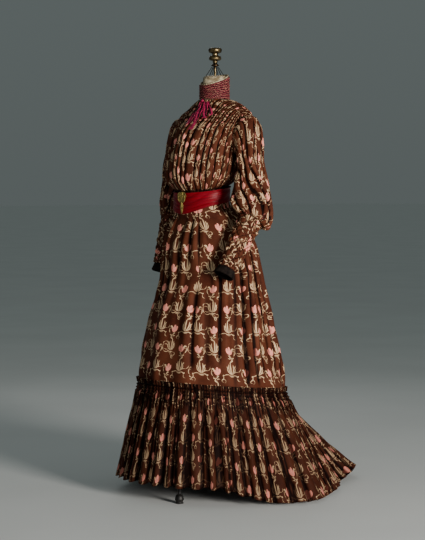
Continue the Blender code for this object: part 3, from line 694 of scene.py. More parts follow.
@dataclass(frozen=True)
class Satin(Finish):
    """Glossy satin whose threads run along the belt."""

    deep: Colour = Colour(0.085, 0.001, 0.004)

    def paint(self, wires: Wiring, shader: bpy.types.Node) -> None:
        """Long soft streaks of tone and a fine lengthwise rib."""
        cloth = self.on_cloth(wires)
        streak = wires.noise(wires.vector("MULTIPLY", cloth, (5.0, 160.0, 1.0)), 1.0, 3.0)
        thread = wires.noise(wires.vector("MULTIPLY", cloth, (120.0, 2400.0, 1.0)), 1.0, 1.0)
        base = wires.mix(wires.between(streak, 0.25, 0.60), self.deep.rgba(), self.colour.rgba())
        wires.feed(shader.inputs["Base Color"], base)
        rough = wires.between(thread, 0.3, 0.7, self.roughness - 0.05, self.roughness + 0.08)
        wires.feed(shader.inputs["Roughness"], rough)
        wires.feed(shader.inputs["Normal"], wires.raised(wires.sum("ADD", streak, thread), 0.0004, 0.4))


@dataclass(frozen=True)
class Pile(Finish):
    """Dark pile: black in its depths and greyer where it is brushed."""

    brushed: Colour = Colour(0.026, 0.018, 0.014)

    def paint(self, wires: Wiring, shader: bpy.types.Node) -> None:
        """Brushed clouds and short hairs."""
        place = self.place(wires)
        clouds = wires.noise(place, 60.0, 3.0)
        hairs = wires.noise(place, 1800.0, 1.0)
        share = wires.between(wires.sum("MULTIPLY", clouds, hairs), 0.15, 0.45)
        wires.feed(shader.inputs["Base Color"], wires.mix(share, self.colour.rgba(), self.brushed.rgba()))
        wires.feed(shader.inputs["Normal"], wires.raised(hairs, 0.0008, 0.8))


@dataclass(frozen=True)
class AgedMetal(Finish):
    """Rubbed metal with clouds of tarnish, all dull between the two heights of unrubbed."""

    dull: Colour = Colour(0.12, 0.08, 0.03)
    grain: float = 90.0
    wear: float = 0.5
    unrubbed: tuple[float, float] | None = None

    def paint(self, wires: Wiring, shader: bpy.types.Node) -> None:
        """Tarnish in clouds, and small dents."""
        place = self.place(wires)
        clouds = wires.noise(place, self.grain, 4.0)
        dents = wires.noise(place, self.grain * 6, 2.0)
        share = wires.between(clouds, 0.35, 0.35 + self.wear)
        if self.unrubbed:
            low, high = self.unrubbed
            height = wires.parts(place)[2]
            above = wires.between(height, high - 0.002, high + 0.001)
            below = wires.between(height, low - 0.001, low + 0.001, 1.0, 0.0)
            share = wires.sum("MULTIPLY", share, wires.sum("MAXIMUM", above, below))
        wires.feed(shader.inputs["Base Color"], wires.mix(share, self.dull.rgba(), self.colour.rgba()))
        rough = wires.between(clouds, 0.2, 0.8, self.roughness + 0.2, self.roughness)
        wires.feed(shader.inputs["Roughness"], rough)
        wires.feed(shader.inputs["Normal"], wires.raised(wires.sum("ADD", clouds, dents), 0.0006, 0.4))


@dataclass(frozen=True)
class PlainWeave(Finish):
    """Plain woven cloth, rubbed and a little stained."""

    stain: Colour = Colour(0.36, 0.28, 0.19)
    threads: float = 1400.0

    def paint(self, wires: Wiring, shader: bpy.types.Node) -> None:
        """Crossed threads and faint stains."""
        place = self.place(wires)
        clouds = wires.noise(place, 55.0, 4.0)
        thread = wires.noise(wires.vector("MULTIPLY", place, (1.0, 1.0, 3.0)), self.threads, 1.0)
        share = wires.between(clouds, 0.42, 0.62, 0.0, 0.9)
        wires.feed(shader.inputs["Base Color"], wires.mix(share, self.colour.rgba(), self.stain.rgba()))
        wires.feed(shader.inputs["Normal"], wires.raised(wires.sum("ADD", clouds, thread), 0.0005, 0.5))


@dataclass(frozen=True)
class StudioFloor(Finish):
    """Smooth pale paper."""

    def paint(self, wires: Wiring, shader: bpy.types.Node) -> None:
        """Faint clouds of tone."""
        clouds = wires.noise(self.place(wires), 1.5, 2.0)
        tint = Colour(*(0.94 * part for part in self.colour)).rgba()
        tone = wires.mix(wires.between(clouds, 0.3, 0.7), self.colour.rgba(), tint)
        wires.feed(shader.inputs["Base Color"], tone)


# The finishes, each with its colour and roughness


PRINTED_SILK = PrintedSilk("printed_silk_dressed", Colour(0.100, 0.029, 0.014), 0.62, gloss=0.04)
WINE_SILK = RuchedSilk("wine_silk_dressed", Colour(0.17, 0.008, 0.028), 0.50, gloss=0.08, flecks=0.8)
TIE_SILK = RuchedSilk("tie_silk_dressed", Colour(0.60, 0.022, 0.110), 0.42, gloss=0.2, flecks=0.06)
RED_SATIN = Satin("red_satin_dressed", Colour(0.20, 0.001, 0.008), 0.40, gloss=0.12)
VELVET = Pile("black_velvet_dressed", Colour(0.004, 0.003, 0.003), 0.9, gloss=0.05)
GILT = AgedMetal("gilt_dressed", Colour(0.66, 0.50, 0.15), 0.42, 0.55, dull=Colour(0.20, 0.14, 0.035))
BRASS = AgedMetal(
    "turned_brass_dressed",
    Colour(0.38, 0.28, 0.13),
    0.32,
    1.0,
    dull=Colour(0.035, 0.022, 0.012),
    unrubbed=(1.4690, 1.4880),
)
IVORY = PlainWeave(
    "ivory_cloth_dressed", Colour(0.50, 0.41, 0.27), 0.78, gloss=0.2, stain=Colour(0.13, 0.09, 0.045)
)
GILDED_CLOTH = PlainWeave(
    "gilded_cloth_dressed", Colour(0.55, 0.43, 0.24), 0.6, sheen=0.2, stain=Colour(0.16, 0.11, 0.06)
)
IRON = AgedMetal(
    "cast_iron_dressed", Colour(0.030, 0.027, 0.025), 0.42, 0.6, dull=Colour(0.006, 0.006, 0.006), wear=0.3
)
FLOOR = StudioFloor("studio_floor", Colour(0.66, 0.67, 0.66), 0.95, gloss=0.1)


def link(name: str, mesh: bmesh.types.BMesh) -> Piece:
    """Turns a bmesh in the row frame into a smooth-shaded object at the origin.

    Args:
        name: The piece's name.
        mesh: Its shape, which is freed.

    Returns:
        The object.
    """
    data = bpy.data.meshes.new(name)
    mesh.to_mesh(data)
    mesh.free()
    data.shade_smooth()
    made = bpy.data.objects.new(name, data)
    bpy.context.scene.collection.objects.link(made)
    return made


def dress(made: Piece, finish: Finish, nodes: Sequence[str] = ()) -> Piece:
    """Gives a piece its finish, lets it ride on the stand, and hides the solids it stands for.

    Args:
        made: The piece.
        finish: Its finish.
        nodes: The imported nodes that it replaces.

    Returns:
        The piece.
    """
    made.data.materials.append(finish.material())
    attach(made, "root")
    if nodes:
        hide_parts(*nodes)
    LOG.info("%s: %d faces, stands for %s", made.name, len(made.data.polygons), ", ".join(nodes) or "no node")
    return made


@dataclass
class Cloth:
    """A sheet worked from a flat grid: laid on a base surface, raised into folds and given two sides.

    base(u, v) is the surface in metres from the pole, with v running down and its faces outwards.
    relief(u, v) is how far the outer face stands off it, and cut(u, v, near) where a point lay on the
    flat cloth, near being the u of its own face, which tells the gore. A hole leaves faces out.
    Hollows between folds are marked as painted shade, dip_scale times as strongly as they bend, and softened
    over spread rings of neighbours. The optional dimming function paints further shade on top of them.
    """

    name: str
    base: Surface
    relief: Relief
    cut: Cut
    columns: int
    rows: int
    wrapped: bool = False
    thickness: float = CLOTH
    hole: Hole | None = None
    spread: int = 2
    dip_scale: float = 20.0
    dim_shade: Relief | None = None

    def make(self) -> Piece:
        """Builds the sheet."""
        mesh = bmesh.new()
        bmesh.ops.create_grid(mesh, x_segments=self.columns, y_segments=self.rows, size=0.5)
        across = mesh.verts.layers.float.new("across")
        down = mesh.verts.layers.float.new("down")
        for vert in mesh.verts:
            vert[across], vert[down] = vert.co.x + 0.5, 0.5 - vert.co.y
            vert.co = self.base(vert[across], vert[down])
        flat = mesh.loops.layers.uv.new("cloth")
        for face in mesh.faces:
            near = sum(vert[across] for vert in face.verts) / len(face.verts)
            for loop in face.loops:
                loop[flat].uv = self.cut(loop.vert[across], loop.vert[down], near)
        if self.wrapped:
            bmesh.ops.remove_doubles(mesh, verts=mesh.verts, dist=MERGE)
        mesh.normal_update()
        raised = [vert.co + vert.normal * self.relief(vert[across], vert[down]) for vert in mesh.verts]
        for vert, place in zip(mesh.verts, raised):
            vert.co = place + POLE
        self.mark_hollow_shade(mesh)
        if self.hole:
            gone = [face for face in mesh.faces if self.hole(face.calc_center_median() - POLE)]
            bmesh.ops.delete(mesh, geom=gone, context="FACES")
        made = link(self.name, mesh)
        shell = made.modifiers.new("two_sides", "SOLIDIFY")
        shell.thickness = self.thickness
        shell.offset = -1.0
        return made

    def mark_hollow_shade(self, mesh: bmesh.types.BMesh) -> None:
        """Writes how deep each point lies between its folds, from 0 to 1, as painted shade for the silks."""
        mesh.normal_update()
        mesh.verts.index_update()
        dips = []
        for vert in mesh.verts:
            near = [edge.other_vert(vert).co - vert.co for edge in vert.link_edges]
            dips.append(sum(step.dot(vert.normal) / step.length for step in near) / len(near))
        beside = [[edge.other_vert(vert).index for edge in vert.link_edges] for vert in mesh.verts]
        for _ in range(self.spread):
            dips = [(dips[k] + sum(dips[i] for i in near)) / (1 + len(near)) for k, near in enumerate(beside)]
        # Painted shade: the silks darken their colour where this value is high, in the hollows between folds
        hollow = mesh.verts.layers.float.new("hollow")
        across, down = (mesh.verts.layers.float[name] for name in ("across", "down"))
        for vert, dip in zip(mesh.verts, dips):
            added_shade = self.dim_shade(vert[across], vert[down]) if self.dim_shade else 0.0
            vert[hollow] = min(max(dip * self.dip_scale, 0.0) + added_shade, 1.0)


def even(height: float) -> Relief:
    """A relief of one height all over."""
    return lambda u, v: height


def strip(width: float, length: float) -> Cut:
    """The cut of a straight strip of cloth."""
    return lambda u, v, near: (u * width, -v * length)


class Folds:
    """A ring of folds, each a little wider or narrower than the next."""

    def __init__(self, count: int, salt: int, crowd: float = 0.0) -> None:
        """Works out where each fold starts.

        Args:
            count: How many folds there are.
            salt: Shifts their unevenness.
            crowd: How much wider they are in front than behind.
        """
        self.count = count
        self.edges = []
        for k in range(count):
            u = (k + 0.20 * uneven(k, salt)) / count
            self.edges.append(tau * u + crowd * sin(tau * u))
        self.edges.append(self.edges[0] + tau)

    def at(self, turn: float) -> tuple[int, float]:
        """Which fold a turn falls in, and how far across that fold it is."""
        turn = (turn - self.edges[0]) % tau + self.edges[0]
        k = min(max(bisect_right(self.edges, turn) - 1, 0), len(self.edges) - 2)
        return k, (turn - self.edges[k]) / (self.edges[k + 1] - self.edges[k])


@dataclass
class BodicePanel:
    """The front or back of the bodice: pin tucks from the shoulder that open into gathers over the belt.

    The print is drawn print_drop times as close down the cloth, and slips by print_slip between folds.
    """

    name: str
    facing: int
    folds: int
    salt: int
    columns: int
    cut_width: float
    cut_length: float
    rows: int = 110
    neckline: float = 1.358
    shoulder: float = 1.301
    yoke: float = 1.270
    waist: float = 1.0223
    gap: float = 0.0003
    tucks: int = 2
    fold_width: float = 0.058
    seen_width: float = 0.050
    sweep: float = 0.9985
    tuck_height: float = 0.0036
    least_gather: float = 0.0012
    more_gather: float = 0.0074
    crease: float = 0.0016
    droop: float = 0.0045
    print_drop: float = 1.9
    print_slip: float = 0.047
    print_shift: float = 0.31
    armhole_depth: float = 0.047
    armhole_height: float = 0.0645
    shoulder_heights: dict[float, float] = field(default_factory=dict)

    def shoulder_level(self, x: float) -> float:
        """The height at which the shoulder line lies a distance x from the middle."""
        key = round(x, 5)
        if key not in self.shoulder_heights:
            low, high = self.shoulder, self.neckline
            if x <= BODICE.half_width(high):
                low = high
            for _ in range(30):
                middle = (low + high) / 2
                low, high = (middle, high) if BODICE.half_width(middle) > x else (low, middle)
            self.shoulder_heights[key] = (low + high) / 2
        return self.shoulder_heights[key]

    def base(self, u: float, v: float) -> Vector:
        """The surface: u from side seam to side seam, v from the shoulder to the waist."""
        swing = radians(90) * self.facing * (2 * u - 1) * self.sweep
        straight = BODICE.half_width(self.shoulder) * sin(swing)
        w = 2 * v
        if w <= 1:
            top = self.shoulder_level(abs(straight))
            height = top + (self.yoke - top) * w
        else:
            height = self.yoke + (self.waist - self.yoke) * (w - 1)
        half = BODICE.half_width(height)
        share = sin(swing) if height < self.shoulder else min(max(straight / half, -1.0), 1.0)
        depth = (BODICE.front if self.facing > 0 else BODICE.back)(height)
        turn = asin(share) if self.facing > 0 else pi - asin(share)
        centre = BODICE.centre(height) - self.facing * self.gap
        y = centre - self.facing * depth * sqrt(1 - share**2)
        return Vector((half * share, y, BODICE.level(height, turn)))

    def fold_share(self, u: float, w: float) -> float:
        """Which fold a point lies in, and how far across it. The folds wander below the yoke."""
        wander = 0.30 * noise(Vector((u * 9, w * 1.7, self.salt)))
        along = u * self.folds + 0.26 * sin(1.9 * u * self.folds + self.salt) * (1 - abs(2 * u - 1))
        return min(max(along + wander * smooth((w - 0.9) / 0.5), 0.0), self.folds - 1e-6)

    def relief(self, u: float, v: float) -> float:
        """Tucks on the shoulder, round gathers over the bust and a soft overhang above the belt."""
        w = 2 * v
        share = self.fold_share(u, w)
        k = int(share)
        size = 1 + 0.35 * uneven(k, self.salt)
        tuck = abs((share * self.tucks) % 1.0 - 0.5) * 2
        tucked = self.tuck_height * (1 - tuck) ** 0.6 * (1 - smooth((w - 0.85) / 0.5))
        full = sin(pi * min(max(w - 0.75, 0.0) / 1.11, 1.0)) ** 0.7
        gather = (self.least_gather + self.more_gather * full) * size * crest(share - k, 0.75)
        gather *= smooth((w - 0.65) / 0.5)
        small = self.crease * full * noise(Vector((u * self.folds * 2.2, w * 5.0, self.salt + 3.0)))
        droop = self.droop * bump(w, 1.72, 0.12) * (0.5 + noise(Vector((u * 7.0, 1.0, self.salt))))
        fade = min(1.0, (1 - abs(2 * u - 1)) * 12)
        held = smooth((1.93 - w) / 0.10)
        return OFF_BASE + (tucked + (gather + small + droop) * held) * fade

    def cut(self, u: float, v: float, near: float) -> tuple[float, float]:
        """The flat cloth. Each fold hides a part of its width, so the print breaks at its edges."""
        share = self.fold_share(u, 2 * v)
        k = int(share)
        across = share - k
        seen = 0.5 + (across - 0.5) * self.seen_width / self.fold_width
        hidden = smooth(abs(across - 0.5) / 0.5 * 6 - 5) * (0.5 - 0.5 * self.seen_width / self.fold_width)
        side = 1 if across > 0.5 else -1
        x = (k + seen + side * hidden) * self.fold_width + self.print_shift * self.salt
        slip = self.print_slip * slipped(k, k + side, across)
        return x, -self.print_drop * v * self.cut_length + slip

    def in_armhole(self, place: Vector) -> bool:
        """Whether a place lies in the open armhole."""
        y = (place.y - ARMHOLE_Y) / self.armhole_depth
        z = (place.z - ARMHOLE_Z) / self.armhole_height
        return abs(place.x) > 0.09 and y**2 + z**2 < 1

    def make(self) -> None:
        """Builds and hangs the panel."""
        sheet = Cloth(
            f"{self.name}_cloth", self.base, self.relief, self.cut, self.columns, self.rows,
            hole=self.in_armhole, dip_scale=32.0,
        )
        made = dress(sheet.make(), PRINTED_SILK, (self.name,))


class Trough(NamedTuple):
    """A long dip between two soft folds of the skirt.

    It lies turn degrees from the centre front, runs from share start to share end of the way down,
    and reaches about reach degrees to each side. depth is in metres.
    """

    turn: float
    start: float
    end: float
    reach: float
    depth: float


@dataclass
class Skirt:
    """The gored skirt: smooth over the hips, softly fluted below, and tacked in small pleats at the waist."""

    name: str = "skirt"
    columns: int = 276
    rows: int = 110
    waist: float = 1.0217
    foot: float = 0.354
    flutes: int = 11
    depth: float = 0.0070
    pleats: int = 58
    pleat_height: float = 0.0011
    crease: float = 0.0055
    drag: float = 0.0032
    bag: float = 0.0050
    seam_depth: float = 0.0013
    seam_reach: float = 0.0022
    gore_ease: float = 1.04
    gore_shift: float = 0.105 * 3
    troughs: tuple[Trough, ...] = (
        Trough(24, 0.06, 0.40, 6.0, 0.0030),
        Trough(38, 0.08, 0.34, 5.0, 0.0028),
        Trough(31, 0.42, 0.95, 5.0, 0.0045),
        Trough(55, 0.30, 0.90, 4.0, 0.0040),
        Trough(83, 0.28, 0.97, 4.0, 0.0060),
        Trough(94, 0.20, 0.97, 3.5, 0.0065),
        Trough(7, 0.12, 0.75, 6.0, 0.0032),
        Trough(-22, 0.04, 0.60, 5.0, 0.0050),
        Trough(-48, 0.25, 0.90, 5.0, 0.0055),
        Trough(-78, 0.15, 0.85, 4.5, 0.0080),
        Trough(122, 0.05, 0.90, 5.0, 0.0090),
        Trough(148, 0.02, 0.97, 4.5, 0.0095),
        Trough(171, 0.02, 0.97, 4.5, 0.0100),
        Trough(-168, 0.02, 0.97, 4.5, 0.0100),
        Trough(-143, 0.02, 0.95, 4.5, 0.0090),
        Trough(-112, 0.10, 0.92, 5.0, 0.0085),
    )
    cut: tuple[float, float] = (1.72, 0.70)
    nodes: tuple[str, ...] = (
        "skirt_front", "skirt_side_left", "skirt_back_left", "skirt_back_right", "skirt_side_right"
    )
    gore_folds: tuple[int, ...] = (4, 12, 24, 36, 44)

    def seams(self) -> list[float]:
        """The turns of the gores' seams, from the front gore's right edge round to it again."""
        edges = Folds(TUBES, TUBE_SALT, TUBE_CROWD).edges
        turns = [edges[k] for k in self.gore_folds]
        return [turns[-1] - tau, *turns]

    def base(self, u: float, v: float) -> Vector:
        """The smooth skirt under its flutes."""
        return SKIRT.point(self.waist + (self.foot - self.waist) * v, tau * u)

    def relief(self, u: float, v: float) -> float:
        """Flutes, long soft creases, pleats under the belt and the gores' seams."""
        turn = tau * u
        place = self.base(u, v)
        flute = 0.5 + 0.5 * cos(self.flutes * turn + 0.8 * sin(2 * turn))
        depth = self.depth * smooth((v - 0.12) / 0.45) * (1 - 0.6 * smooth((v - 0.80) / 0.20))
        pleat = self.pleat_height * sin(self.pleats * turn + 2 * sin(3 * turn))
        pleat *= 1 - smooth(v / 0.14)
        pleat *= 0.55 - 0.45 * cos(turn)
        long = self.crease * crumple(place, Vector((13.0, 13.0, 1.5)), 3.0) * smooth(v / 0.25)
        drag = crumple(place + Vector((0, 0, 0.4 * place.x)), Vector((20.0, 9.0, 11.0)), 8.0)
        drag *= self.drag * smooth((v - 0.15) / 0.3)
        bag = self.bag * bump(v, 0.93, 0.05) * (0.5 + 0.5 * cos(24 * turn + 2 * sin(5 * turn)))
        off = min(abs((turn - seam + pi) % tau - pi) for seam in self.seam_turns)
        seam = -self.seam_depth * bump(off * place.xy.length, 0.0, self.seam_reach)
        fade = 1 - smooth((v - 0.965) / 0.03)
        folds = depth * flute + (long + drag) * (0.4 + 0.6 * fade) + bag * fade + pleat + 0.0016
        folds += self.ridge(degrees(turn), v)
        return OFF_BASE + max(0.0, folds) + seam

    def ridge(self, turn: float, v: float) -> float:
        """The height of the rolls beside the troughs, which themselves lie on the smooth skirt."""
        height = 0.0
        for k, trough in enumerate(self.troughs):
            off = (turn - trough.turn + 4 * sin(3.0 * v + k) + 180) % 360 - 180
            if abs(off) < 4 * trough.reach:
                share = off / trough.reach
                along = smooth((v - trough.start) / 0.10) * smooth((trough.end - v) / 0.12)
                roll = 1.5 * exp(-((abs(share) - 1.35) ** 2) / 0.5)
                dip = 0.9 * exp(-(share**2) / 0.35)
                height += trough.depth * along * (roll - dip)
        return height

    def flat(self, u: float, v: float, near: float) -> tuple[float, float]:
        """A gore's own flat cloth, straight along its middle."""
        turn, own = tau * u, tau * near
        own -= tau * (own > self.seam_turns[-1])
        k = next(i for i in range(len(self.nodes)) if self.seam_turns[i] <= own < self.seam_turns[i + 1])
        middle = (self.seam_turns[k] + self.seam_turns[k + 1]) / 2
        off = (turn - middle + pi) % tau - pi
        height = self.waist + (self.foot - self.waist) * v
        radius = (2 * SKIRT.half_width(height) + SKIRT.front(height) + SKIRT.back(height)) / 4
        return off * radius * self.gore_ease + self.gore_shift * k, -v * self.cut[1]

    def make(self) -> None:
        """Builds and hangs the skirt."""
        self.seam_turns = self.seams()
        sheet = Cloth(
            self.name, self.base, self.relief, self.flat, self.columns, self.rows, wrapped=True,
            dip_scale=14.0,
        )
        made = dress(sheet.make(), PRINTED_SILK, self.nodes)


class Hem(NamedTuple):
    """How far the hem lies from the pole and how high it hangs, by degrees from the centre front."""

    turn: float
    reach: float
    height: float


@dataclass
class Flounce:
    """The gathered flounce: a standing frill, rows of shirring and deep tube folds down to the train."""

    name: str = "flounce"
    columns: int = 528
    rows: int = 62
    height: float = 0.362
    sag: float = 0.050
    cut: tuple[float, float] = (3.60, 0.37)
    nodes: tuple[str, ...] = ("flounce_front", "flounce_left", "flounce_back", "flounce_right")
    hems: tuple[Hem, ...] = (
        Hem(0, 0.326, 0.056),
        Hem(45, 0.326, 0.054),
        Hem(62, 0.330, 0.036),
        Hem(75, 0.345, 0.014),
        Hem(90, 0.375, 0.002),
        Hem(104, 0.404, 0.001),
        Hem(122, 0.394, 0.001),
        Hem(150, 0.428, 0.005),
        Hem(162, 0.496, 0.009),
        Hem(172, 0.574, 0.014),
        Hem(180, 0.602, 0.018),
    )
    relief_downs: tuple[float, ...] = (-0.05, 0.0, 0.15, 0.33, 0.56, 0.79, 1.0)
    relief_sizes: tuple[float, ...] = (0.0040, 0.0026, 0.0060, 0.0160, 0.0225, 0.0260, 0.0285)
    shirring: tuple[float, ...] = (0.004, 0.036, 0.068)
    head: float = 0.05
    hem_lift: float = 0.011
    gather: float = 0.0046
    split: float = 0.0035
    frill: float = 0.0042
    crease: float = 0.0020
    print_length: float = 0.352
    print_slip: float = 0.010

    @staticmethod
    def down(v: float) -> float:
        """The share of the way down, with more rows in the shirred head."""
        return -0.05 + 1.05 * (0.45 * v + 0.55 * v**2)

    def base(self, u: float, v: float) -> Vector:
        """The flounce without its folds, sagging into the train."""
        turn, w = tau * u, self.down(v)
        if w < 0:
            return SKIRT.point(self.height - w * 0.36, turn)
        off_front = abs(from_front(turn))
        reach = self.reach(off_front)
        start = SKIRT.point(self.height, turn)
        end = Vector((reach * sin(turn), -reach * cos(turn), self.lift(off_front)))
        k, share = self.folds.at(turn)
        lift = self.hem_lift * (1 - crest(share, 0.8)) * (1 + 0.5 * uneven(k, 21))
        end.z += lift * (1 - smooth((off_front - 60) / 30))
        bend = (start + end) / 2
        bend.z -= self.sag * smooth((off_front - 110) / 70)
        return start * (1 - w) ** 2 + bend * 2 * w * (1 - w) + end * w**2

    @staticmethod
    def gather_at(k: int, share: float) -> tuple[int, float]:
        """The number of a fine gather, four to each fold, and how far across it a point is."""
        return 4 * k + int(share * 4), (share * 4 + 0.2 * uneven(k, 9)) % 1.0

    def relief(self, u: float, v: float) -> float:
        """Fine gathers in the head that join into the tube folds."""
        turn, w = tau * u, self.down(v)
        k, share = self.folds.at(turn)
        wander = 0.16 * noise(Vector((k * 1.7, w * 2.2, 5.0))) * smooth(w / 0.4)
        size = 1 + 0.42 * uneven(k, 3)
        gap = (k if share > 0.5 else k - 1) % self.folds.count
        joined = 0.62 * smooth(w / 0.5) * (uneven(gap, 17) > 0.25)
        deep = self.size(w) * size * max(joined, crest(share + wander * sin(pi * share), 0.62))
        number, fine = self.gather_at(k, share)
        gather = self.gather * crest(fine, 0.7) * (1 - smooth((w - 0.10) / 0.25))
        gather *= 1 + 0.4 * uneven(number, 4)
        split = self.split * bump(share, 0.5 + 0.15 * uneven(k, 12), 0.10) * smooth((w - 0.25) / 0.3)
        split *= uneven(k, 13) > 0.1
        pinch = sum(bump(w, row, 0.0065) for row in self.shirring)
        frill = self.frill * smooth(-w / self.head) * (0.6 + 0.6 * sin(tau * fine))
        stand = 0.0012 + 0.0018 * (1 - smooth(w / 0.15))
        soft = self.crease * noise(Vector((u * 150, w * 7.0, 1.0))) * smooth(w / 0.3)
        return 0.0040 + stand + (deep + gather) * (1 - 0.75 * pinch) - 0.0016 * pinch + frill - split + soft

    def dim_shade(self, u: float, v: float) -> float:
        """Painted shade: deepest in the shirred head, lighter on its gathers' crests, and half as deep below
        it.
        """
        w = self.down(v)
        k, share = self.folds.at(tau * u)
        number, fine = self.gather_at(k, share)
        # Painted shade: the shirred head darkens most, and everything below it by half as much
        head = smooth((0.21 - w) / 0.09) * (1 - 0.35 * smooth((-0.015 - w) / 0.01))
        # Painted light: the crests of the fine gathers in the head are spared part of the shade
        lit_crests = 0.80 * crest(fine, 1.8) * (0.55 + 0.45 * uneven(number, 31))
        return 0.95 * head * (1 - lit_crests) + 0.50 * (1 - head)

    def flat(self, u: float, v: float, near: float) -> tuple[float, float]:
        """The flounce's straight strip, eased a little up or down in each fold."""
        k, share = self.folds.at(tau * (u if u < 1 else u - 1e-6))
        side = 1 if share > 0.5 else -1
        slip = self.print_slip * slipped(k % TUBES, (k + side) % TUBES, share)
        return u * self.cut[0], -self.down(v) * self.print_length + slip

    def make(self) -> None:
        """Builds and hangs the flounce."""
        self.folds = Folds(TUBES, TUBE_SALT, TUBE_CROWD)
        self.reach = SmoothCurve([h.turn for h in self.hems], [h.reach for h in self.hems])
        self.lift = SmoothCurve([h.turn for h in self.hems], [h.height for h in self.hems])
        self.size = SmoothCurve(self.relief_downs, self.relief_sizes)
        sheet = Cloth(
            self.name, self.base, self.relief, self.flat, self.columns, self.rows, wrapped=True,
            dip_scale=30.0, dim_shade=self.dim_shade,
        )
        made = dress(sheet.make(), PRINTED_SILK, self.nodes)


class Ring(NamedTuple):
    """A ring of the upper sleeve on the wearer's left. At tilt 0 it faces sideways and at 90 down."""

    x: float
    y: float
    z: float
    tilt: float
    lean: float
    out: float
    inside: float
    front: float
    back: float
    relief: float


@dataclass
class Arm:
    """One sleeve: the full upper sleeve, the close ruched forearm and the velvet edge.

    Its sizes are those of the left arm, and side is -1 to mirror them. ease is how far the upper
    sleeve's foot stands off the forearm, and fuller how much further its puff hangs inside and in front.
    """

    label: str
    side: int
    wrist: Vector
    ease: float
    fuller: float
    elbow: Vector = field(default_factory=lambda: Vector((0.213, -0.020, 0.957)))
    rings: tuple[Ring, ...] = (
        Ring(0.168, -0.006, 1.2280, 26, 0, 0.0660, 0.0690, 0.0510, 0.0510, 0.0020),
        Ring(0.183, -0.008, 1.2000, 56, 0, 0.0360, 0.0450, 0.0480, 0.0470, 0.0050),
        Ring(0.190, -0.012, 1.1540, 80, 0, 0.0260, 0.0300, 0.0440, 0.0440, 0.0080),
        Ring(0.197, -0.013, 1.1050, 90, 0, 0.0265, 0.0310, 0.0430, 0.0440, 0.0110),
        Ring(0.206, -0.013, 1.0500, 90, 4, 0.0330, 0.0370, 0.0440, 0.0470, 0.0140),
        Ring(0.211, -0.012, 1.0000, 92, 14, 0.0410, 0.0430, 0.0480, 0.0540, 0.0130),
        Ring(0.213, -0.014, 0.9550, 94, 30, 0.0470, 0.0450, 0.0480, 0.0600, 0.0070),
    )
    join: float = 0.020
    folds: int = 10
    columns: int = 130
    rows: int = 108
    upper_cut: tuple[float, float] = (0.40, 0.42)
    lower_cut: tuple[float, float] = (0.26, 0.21)
    cuff_length: float = 0.026
    cuff_flare: float = 0.006
    cuff_radius: float = 0.0290
    cuff_cut: tuple[float, float] = (0.20, 0.034)
    armhole_depth: float = 0.0505
    armhole_height: float = 0.0680
    head_tuck: float = 0.0026
    crease: float = 0.0030
    foot_gather: float = 0.0022
    puff: float = 0.0056
    puff_slip: float = 0.016

    def __post_init__(self) -> None:
        """Makes the curves along the arm and the ring of folds."""
        self.radius = SmoothCurve((0.0, 0.45, 0.85, 1.0), (0.0360, 0.0345, 0.0290, 0.0285))
        swell = [0.0, 0.0, *(ring.relief for ring in self.rings), 0.0]
        self.swell = SmoothCurve(range(len(swell)), swell)
        self.ring_folds = Folds(self.folds, 5 + self.side)
        self.lines: dict[float, list[Vector]] = {}

    def mirrored(self, point: Vector) -> Vector:
        """A point of the left arm moved to this arm's side."""
        return Vector((self.side * point.x, point.y, point.z))

    def bodice_side(self, y: float, height: float) -> float:
        """How far out the bodice's side lies at a depth and height."""
        centre = BODICE.centre(height)
        depth = (BODICE.front if y < centre else BODICE.back)(height)
        return BODICE.half_width(height) * sqrt(max(0.0, 1 - ((y - centre) / depth) ** 2))

    def forearm_point(self, u: float, down: float, radius: float) -> Vector:
        """A point round the forearm, on the left arm."""
        way = (self.wrist - self.elbow).normalized()
        out = (Vector((1, 0, 0)) - way * way.x).normalized()
        angle = tau * u
        off = out * cos(angle) + way.cross(out) * sin(angle)
        return self.elbow + (self.wrist - self.elbow) * down + off * radius

    def ring_point(self, ring: Ring, angle: float) -> Vector:
        """A point of one ring."""
        tilt, lean = radians(ring.tilt), radians(ring.lean)
        facing = Vector((cos(tilt) * cos(lean), -sin(lean), -sin(tilt) * cos(lean)))
        out = Vector((sin(tilt), 0, cos(tilt)))
        grown = self.fuller * bump(ring.z, 1.0, 0.07)
        across = ring.out if cos(angle) > 0 else ring.inside + grown
        along = ring.front + grown if sin(angle) > 0 else ring.back
        middle = Vector((ring.x, ring.y, ring.z))
        return middle + out * across * cos(angle) + facing.cross(out) * along * sin(angle)

    def line(self, u: float) -> list[Vector]:
        """The points of one lengthwise line, from inside the armhole to the top of the forearm."""
        key = round(u % 1.0, 6)
        if key not in self.lines:
            angle = tau * key
            y = ARMHOLE_Y - self.armhole_depth * sin(angle)
            z = ARMHOLE_Z + self.armhole_height * cos(angle)
            seat = self.bodice_side(y, z)
            points = [Vector((seat - 0.005, y, z)), Vector((seat + 0.009, y, z))]
            points += [self.ring_point(ring, angle) for ring in self.rings]
            foot = self.radius(self.join) + 0.0016 + self.ease
            points.append(self.forearm_point(key, self.join, foot))
            self.lines[key] = points
        return self.lines[key]

    def upper_base(self, u: float, v: float) -> Vector:
        """The full sleeve on one smooth line through its rings."""
        points = self.line(-self.side * u)
        s = v * (len(points) - 1)
        k = min(int(s), len(points) - 2)
        f = s - k
        p0, p1, p2, p3 = (points[min(max(i, 0), len(points) - 1)] for i in (k - 1, k, k + 1, k + 2))
        second = p0 * 2 - p1 * 5 + p2 * 4 - p3
        third = p1 * 3 - p0 - p2 * 3 + p3
        place = p1 + ((p2 - p0) * f + second * f**2 + third * f**3) / 2
        return self.mirrored(place)

